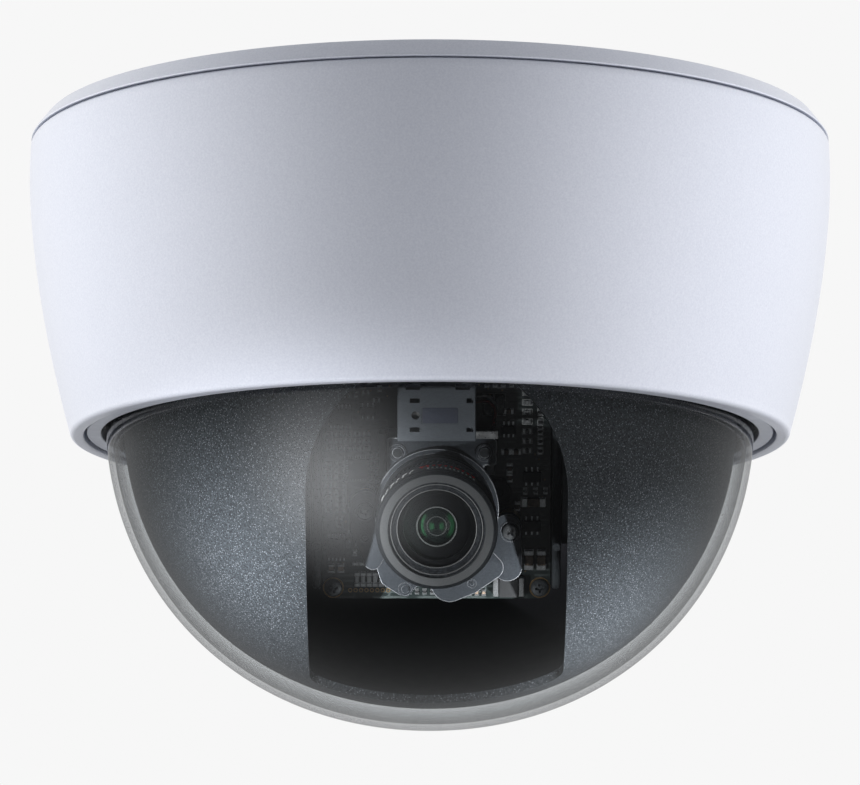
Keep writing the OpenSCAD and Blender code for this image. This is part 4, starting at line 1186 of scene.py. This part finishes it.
def module_bracket():
    """The tray behind the boards, with round-edged side rails and a small window in each."""
    bm = bmesh.new()
    back = turned_about("X", 90)
    slab(bm, rounded_rect(-22.8, 22.8, -19, 23, 3, 8), -9.2, -8.0, 0.2, matrix=back)
    tools = bmesh.new()
    slab(tools, rounded_rect(-12, 12, -8, 8, 3), -12, -5, 0, matrix=back)
    slab(tools, rounded_rect(-5, 5, -15, -5, 1), -12, -5, 0, matrix=back)
    for side in (-1, 1):
        rail = bmesh.new()
        profile = rounded([(-9.9, -17), (8.05, -17), (8.05, 16), (-9.9, 16)], [2.2, 0.5, 0.5, 2.2], 6)
        slab(rail, profile, 21.2 if side > 0 else -22.8, 22.8 if side > 0 else -21.2, 0.5, 0, 3, SIDEWAYS)
        join(bm, rail)
        block(tools, (side * 22 - 3, -7.6, 6.5), (side * 22 + 3, -4.4, 10.5), 0)
        turned = shift(side * 22, 0) @ turned_about("Y", 90)
        rod(tools, 1.5, -3, 3, 40, turned)
        boss = shift(side * 22, -8.8, -8.5) @ turned_about("X", 90)
        lathe(bm, rounded([(0, -1), (0.8, -1), (0.8, 2.4), (0, 2.4)], [0, 0, 0.5, 0], 5), 32, matrix=boss)
    bm = reopened(carve(bm, tools, overlapping=True))
    for side in (-1, 1):
        block(bm, (side * 22 - 0.5, -7.6, 6.5), (side * 22 + 0.5, -4.4, 10.5), 0.1, 1)
    add_piece("module_bracket", bm, "camera_module", [BRACKET, OLIVE_PAD], TILT)


def yoke_arm(side, node):
    """One folded arm: a foot under the turntable, a rounded fold and a round end at the tilt axis."""
    top = edge(node, 1, 2)
    reach = 10.0
    bm = bmesh.new()
    fold = rounded([(23.1, PIVOT.z - 30), (23.1, top), (34.1, top), (34.1, top - 1.8), (24.9, top - 1.8),
                    (24.9, PIVOT.z - 30)], [0, 1.9, 0.3, 0.3, 0.6, 0], 6)
    upright = Matrix(((side, 0, 0, MODULE_X), (0, 0, 1, 0), (0, 1, 0, 0), (0, 0, 0, 1)))
    slab(bm, fold, PIVOT.y - reach, PIVOT.y + reach, 0.3, 0, 2, upright)
    tools = bmesh.new()
    far, y0, y1 = 60, PIVOT.y - reach, PIVOT.y + reach
    round_end = circle_points(PIVOT.y, PIVOT.z, reach, 48, 180, 180)
    waste = [(y0 - 5, PIVOT.z), (y0, PIVOT.z)] + round_end[1:-1] + [(y1, PIVOT.z), (y1 + 5, PIVOT.z),
             (y1 + 5, PIVOT.z - 40), (y0 - 5, PIVOT.z - 40)]
    slab(tools, waste, -far, far, 0, matrix=SIDEWAYS)
    for r, z in ((3.0, PIVOT.z), (4.0, -42.0)):
        seat = shift(0, PIVOT.y, z) @ turned_about("Y", 90)
        rod(tools, r, -far, far, 48, seat)
    for dy in (-6, 6):
        seat = shift(MODULE_X + side * 30.9, PIVOT.y + dy, top)
        rod(tools, 1.2, -4, 2, 24, seat)
    mesh = carve(bm, tools)
    add_piece(node, mesh, "pan_head", [BRACKET])


LEAD_R = 1.2


def leads():
    """The black lead from the terminal board to the module."""
    base = [(23, 0, -17.4), (19, 0, -17.4), (14, 0, -17.4), (9, 0, -17.6), (4, 0, -17.8), (0.9, 0, -18.8),
            (0, 0, -20.8), (0, 0, -22.3)]
    add_piece("base_lead", tube_mesh(base, LEAD_R), "base", [LEAD])
    low = [(1.2, 6.9, -77), (1.2, 9.0, -76.3), (1.2, 12.4, -73.5), (1.2, 13.8, -68), (1.2, 13.4, -61),
           (1.2, 11.4, -54), (1.2, 8.8, -48), (1.2, 7.2, -43.6), (1.0, 6.6, -39), (0.6, 4.4, -34),
           (0.2, 1.4, -29.4), (0, 0.2, -25.8), (0, 0, -22.5)]
    lead = add_piece("camera_lead", tube_mesh(low, LEAD_R), None, [LEAD],
                     replaces=["upper_lead", "lower_lead"])
    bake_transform(lead)


def filter_wires():
    bm = bmesh.new()
    route = ((6.6, 20, -22), (8.2, 20.6, -21.6), (10.0, 20.2, -22.2), (10.9, 18, -23.5),
             (10.4, 16, -25.4), (10.2, 15, -27), (10.6, 14.6, -28.9))
    for k in range(2):
        points = [(x, y - k, z) for x, y, z in route]
        join(bm, reopened(tube_mesh(points, 0.3, 12)), k)
    add_piece("filter_lead", bm, "camera_module", [WIRE_GREY, WIRE_RED], LENS)


# ---------- CAD nodes that keep their own shape ----------

CARRIED = {
    "ceiling_gasket": SEAL, "cable_grommet": SEAL, "cover_seal": SEAL, "cover_clips": STEEL,
    "terminal_board": BOARD_GREEN, "terminal_block": TERMINAL, "lead_header": NYLON,
    "terminal_board_posts": STEEL, "turntable_retainer": CAST_ALU, "retainer_screws": STEEL,
    "turntable": BRACKET, "yoke_screws": STEEL, "pivot_bushes": NYLON, "liner_posts": STEEL,
    "liner_screws": STEEL, "pivot_screws": STEEL, "pivot_washers": STEEL, "processor_board": BOARD_GREEN,
    "board_spacers": BRASS, "board_connector": NYLON, "image_sensor": CHIP, "filter_motor": STEEL,
    "flange_posts": BRASS, "lead_plug": NYLON, "filter_frame": BLACK, "filter_glasses": FILTER_GLASS,
    "dome_gasket": SEAL, "dome_clamp": BLACK, "ring_screws": STEEL,
}


def dress_carried_nodes():
    for name, material in CARRIED.items():
        for seat in frame["nodes"][name].material_slots:
            seat.material = material


# ---------- studio ----------


FLOOR_HALF_M = 4.0
FLOOR_Z_M = -1.6


def studio():
    """A pale floor far below, which only lights the piece from under it."""
    floor_mesh = bpy.data.meshes.new("floor")
    s, z = FLOOR_HALF_M, FLOOR_Z_M
    floor_mesh.from_pydata([(-s, -s, z), (s, -s, z), (s, s, z), (-s, s, z)], [], [(0, 1, 2, 3)])
    floor = add_object("floor", floor_mesh)
    pale = Paint("floor_paint", (0.80, 0.80, 0.80), 0.8)
    pale.colour(pale.ramp(pale.noise(400, 2), 0.3, 0.7, (0.78, 0.78, 0.78), (0.82, 0.82, 0.82)))
    floor_mesh.materials.append(pale.material)
    floor.visible_glossy = False
    floor.visible_transmission = False


def lobe(sky_nodes, direction, sharpness, colour):
    """A soft patch of sky light round one direction, as a colour socket."""
    place = sky_nodes.node("ShaderNodeTexCoord").outputs["Generated"]
    inputs = {0: place, 1: Vector(direction).normalized()}
    dot = sky_nodes.node("ShaderNodeVectorMath", inputs, operation="DOT_PRODUCT").outputs["Value"]
    power = sky_nodes.maths("POWER", sky_nodes.maths("MAXIMUM", dot, 0.0), sharpness)
    tint = {0: colour, "Scale": power}
    return sky_nodes.node("ShaderNodeVectorMath", tint, operation="SCALE").outputs[0]


def glow(sky_nodes, lobes, base):
    """The light of some sky lobes added to an even base colour."""
    total = base
    for direction, sharpness, colour in lobes:
        inputs = {0: lobe(sky_nodes, direction, sharpness, colour), 1: total}
        total = sky_nodes.node("ShaderNodeVectorMath", inputs, operation="ADD").outputs[0]
    return sky_nodes.node("ShaderNodeBackground", {"Color": total}).outputs[0]


def sky():
    """A pale backdrop, soft light from both sides and below, and only a little of it mirrored."""
    world = bpy.data.worlds.new("studio")
    SCENE.world = world
    world.use_nodes = True
    sky_nodes = Wiring(world.node_tree)
    path = sky_nodes.node("ShaderNodeLightPath").outputs
    soft = glow(sky_nodes, SOFT_LOBES, SOFT_BASE)
    mirrored = glow(sky_nodes, MIRROR_LOBES, MIRROR_BASE)
    backdrop = sky_nodes.node("ShaderNodeBackground", {"Color": BACKDROP}).outputs[0]
    indirect = sky_nodes.mixed_shaders(path["Is Singular Ray"], soft, mirrored)
    final = sky_nodes.mixed_shaders(path["Is Camera Ray"], indirect, backdrop)
    sky_nodes.feed(world.node_tree.nodes["World Output"].inputs["Surface"], final)


BACKDROP = (0.93, 0.93, 0.93, 1)
# Each lobe is a direction, a sharpness and a colour
SOFT_BASE = (0.06, 0.062, 0.066)
SOFT_LOBES = [
    ((1, -0.12, -0.12), 2.1, (2.06, 2.03, 2.02)),
    ((-1, -0.03, -0.12), 2.1, (1.98, 1.95, 1.92)),
    ((0, -0.3, -1), 1.5, (0.34, 0.34, 0.34)),
    ((0.8, 0.9, 0.5), 3.0, (1.0, 1.0, 1.0)),
    ((-0.8, 0.9, 0.5), 3.0, (1.0, 1.0, 1.0)),
]
MIRROR_BASE = (0.05, 0.052, 0.055)
MIRROR_LOBES = [
    ((-0.61, -0.69, -0.52), 11.5, (2.95, 3.0, 3.08)),
    ((0, 1, -0.1), 1.5, (0.35, 0.35, 0.35)),
]


# Narrow lamps: where each stands and points in metres, its watts, its cone in degrees and its size
LEFT_STAND = (-0.52, -0.80, -0.44)
RIGHT_STAND = (0.50, -0.60, -0.72)
LAMPS = {
    "module_lamp": (LEFT_STAND, (-0.006, -0.035, -0.090), 140, 5.2, 0.02),
    "low_left_lamp": (LEFT_STAND, (-0.042, -0.046, -0.096), 1500, 3.0, 0.015),
    "low_right_lamp": (RIGHT_STAND, (0.042, -0.03, -0.110), 1500, 3.0, 0.015),
}


def spot_lamp(name, place, target, watts, cone, softness):
    """A spot that lights what it points at and isn't mirrored in the glass."""
    data = bpy.data.lights.new(name, "SPOT")
    data.energy = watts
    data.spot_size = math.radians(cone)
    data.spot_blend = 1.0
    data.shadow_soft_size = softness
    lamp = add_object(name, data)
    lamp.location = place
    lamp.rotation_euler = (Vector(target) - Vector(place)).to_track_quat("-Z", "Y").to_euler()
    lamp.visible_glossy = False
    lamp.visible_transmission = False


CAMERA_PLACE_M = (0, -0.9, -0.2019)
CAMERA_UP = 9.57
SENSOR_WIDTH = 36
FOCAL_LENGTH = 204.4


def camera():
    """Straight in front, a little below the dome and looking slightly up."""
    data = bpy.data.cameras.new("camera")
    cam = add_object("camera", data)
    cam.location = CAMERA_PLACE_M
    cam.rotation_euler = (math.radians(90 + CAMERA_UP), 0, 0)
    data.sensor_width = SENSOR_WIDTH
    data.lens = FOCAL_LENGTH
    data.clip_start = 0.01
    SCENE.camera = cam


# ---------- build ----------

cover_shell()
dome()
dome_ring()
base_plate()
liner()
camera_board()
board_parts()
power_coils()
lens_holder()
filter_housing()
lens_flange()
module_screws()
lens_barrel()
zoom_ring()
focus_ring()
front_cell()
lenses()
module_bracket()
yoke_arm(-1, "yoke_arm_left")
yoke_arm(1, "yoke_arm_right")
leads()
filter_wires()
dress_carried_nodes()
studio()
sky()
for lamp_name, settings in LAMPS.items():
    spot_lamp(lamp_name, *settings)
camera()
SCENE.view_settings.view_transform = "Standard"
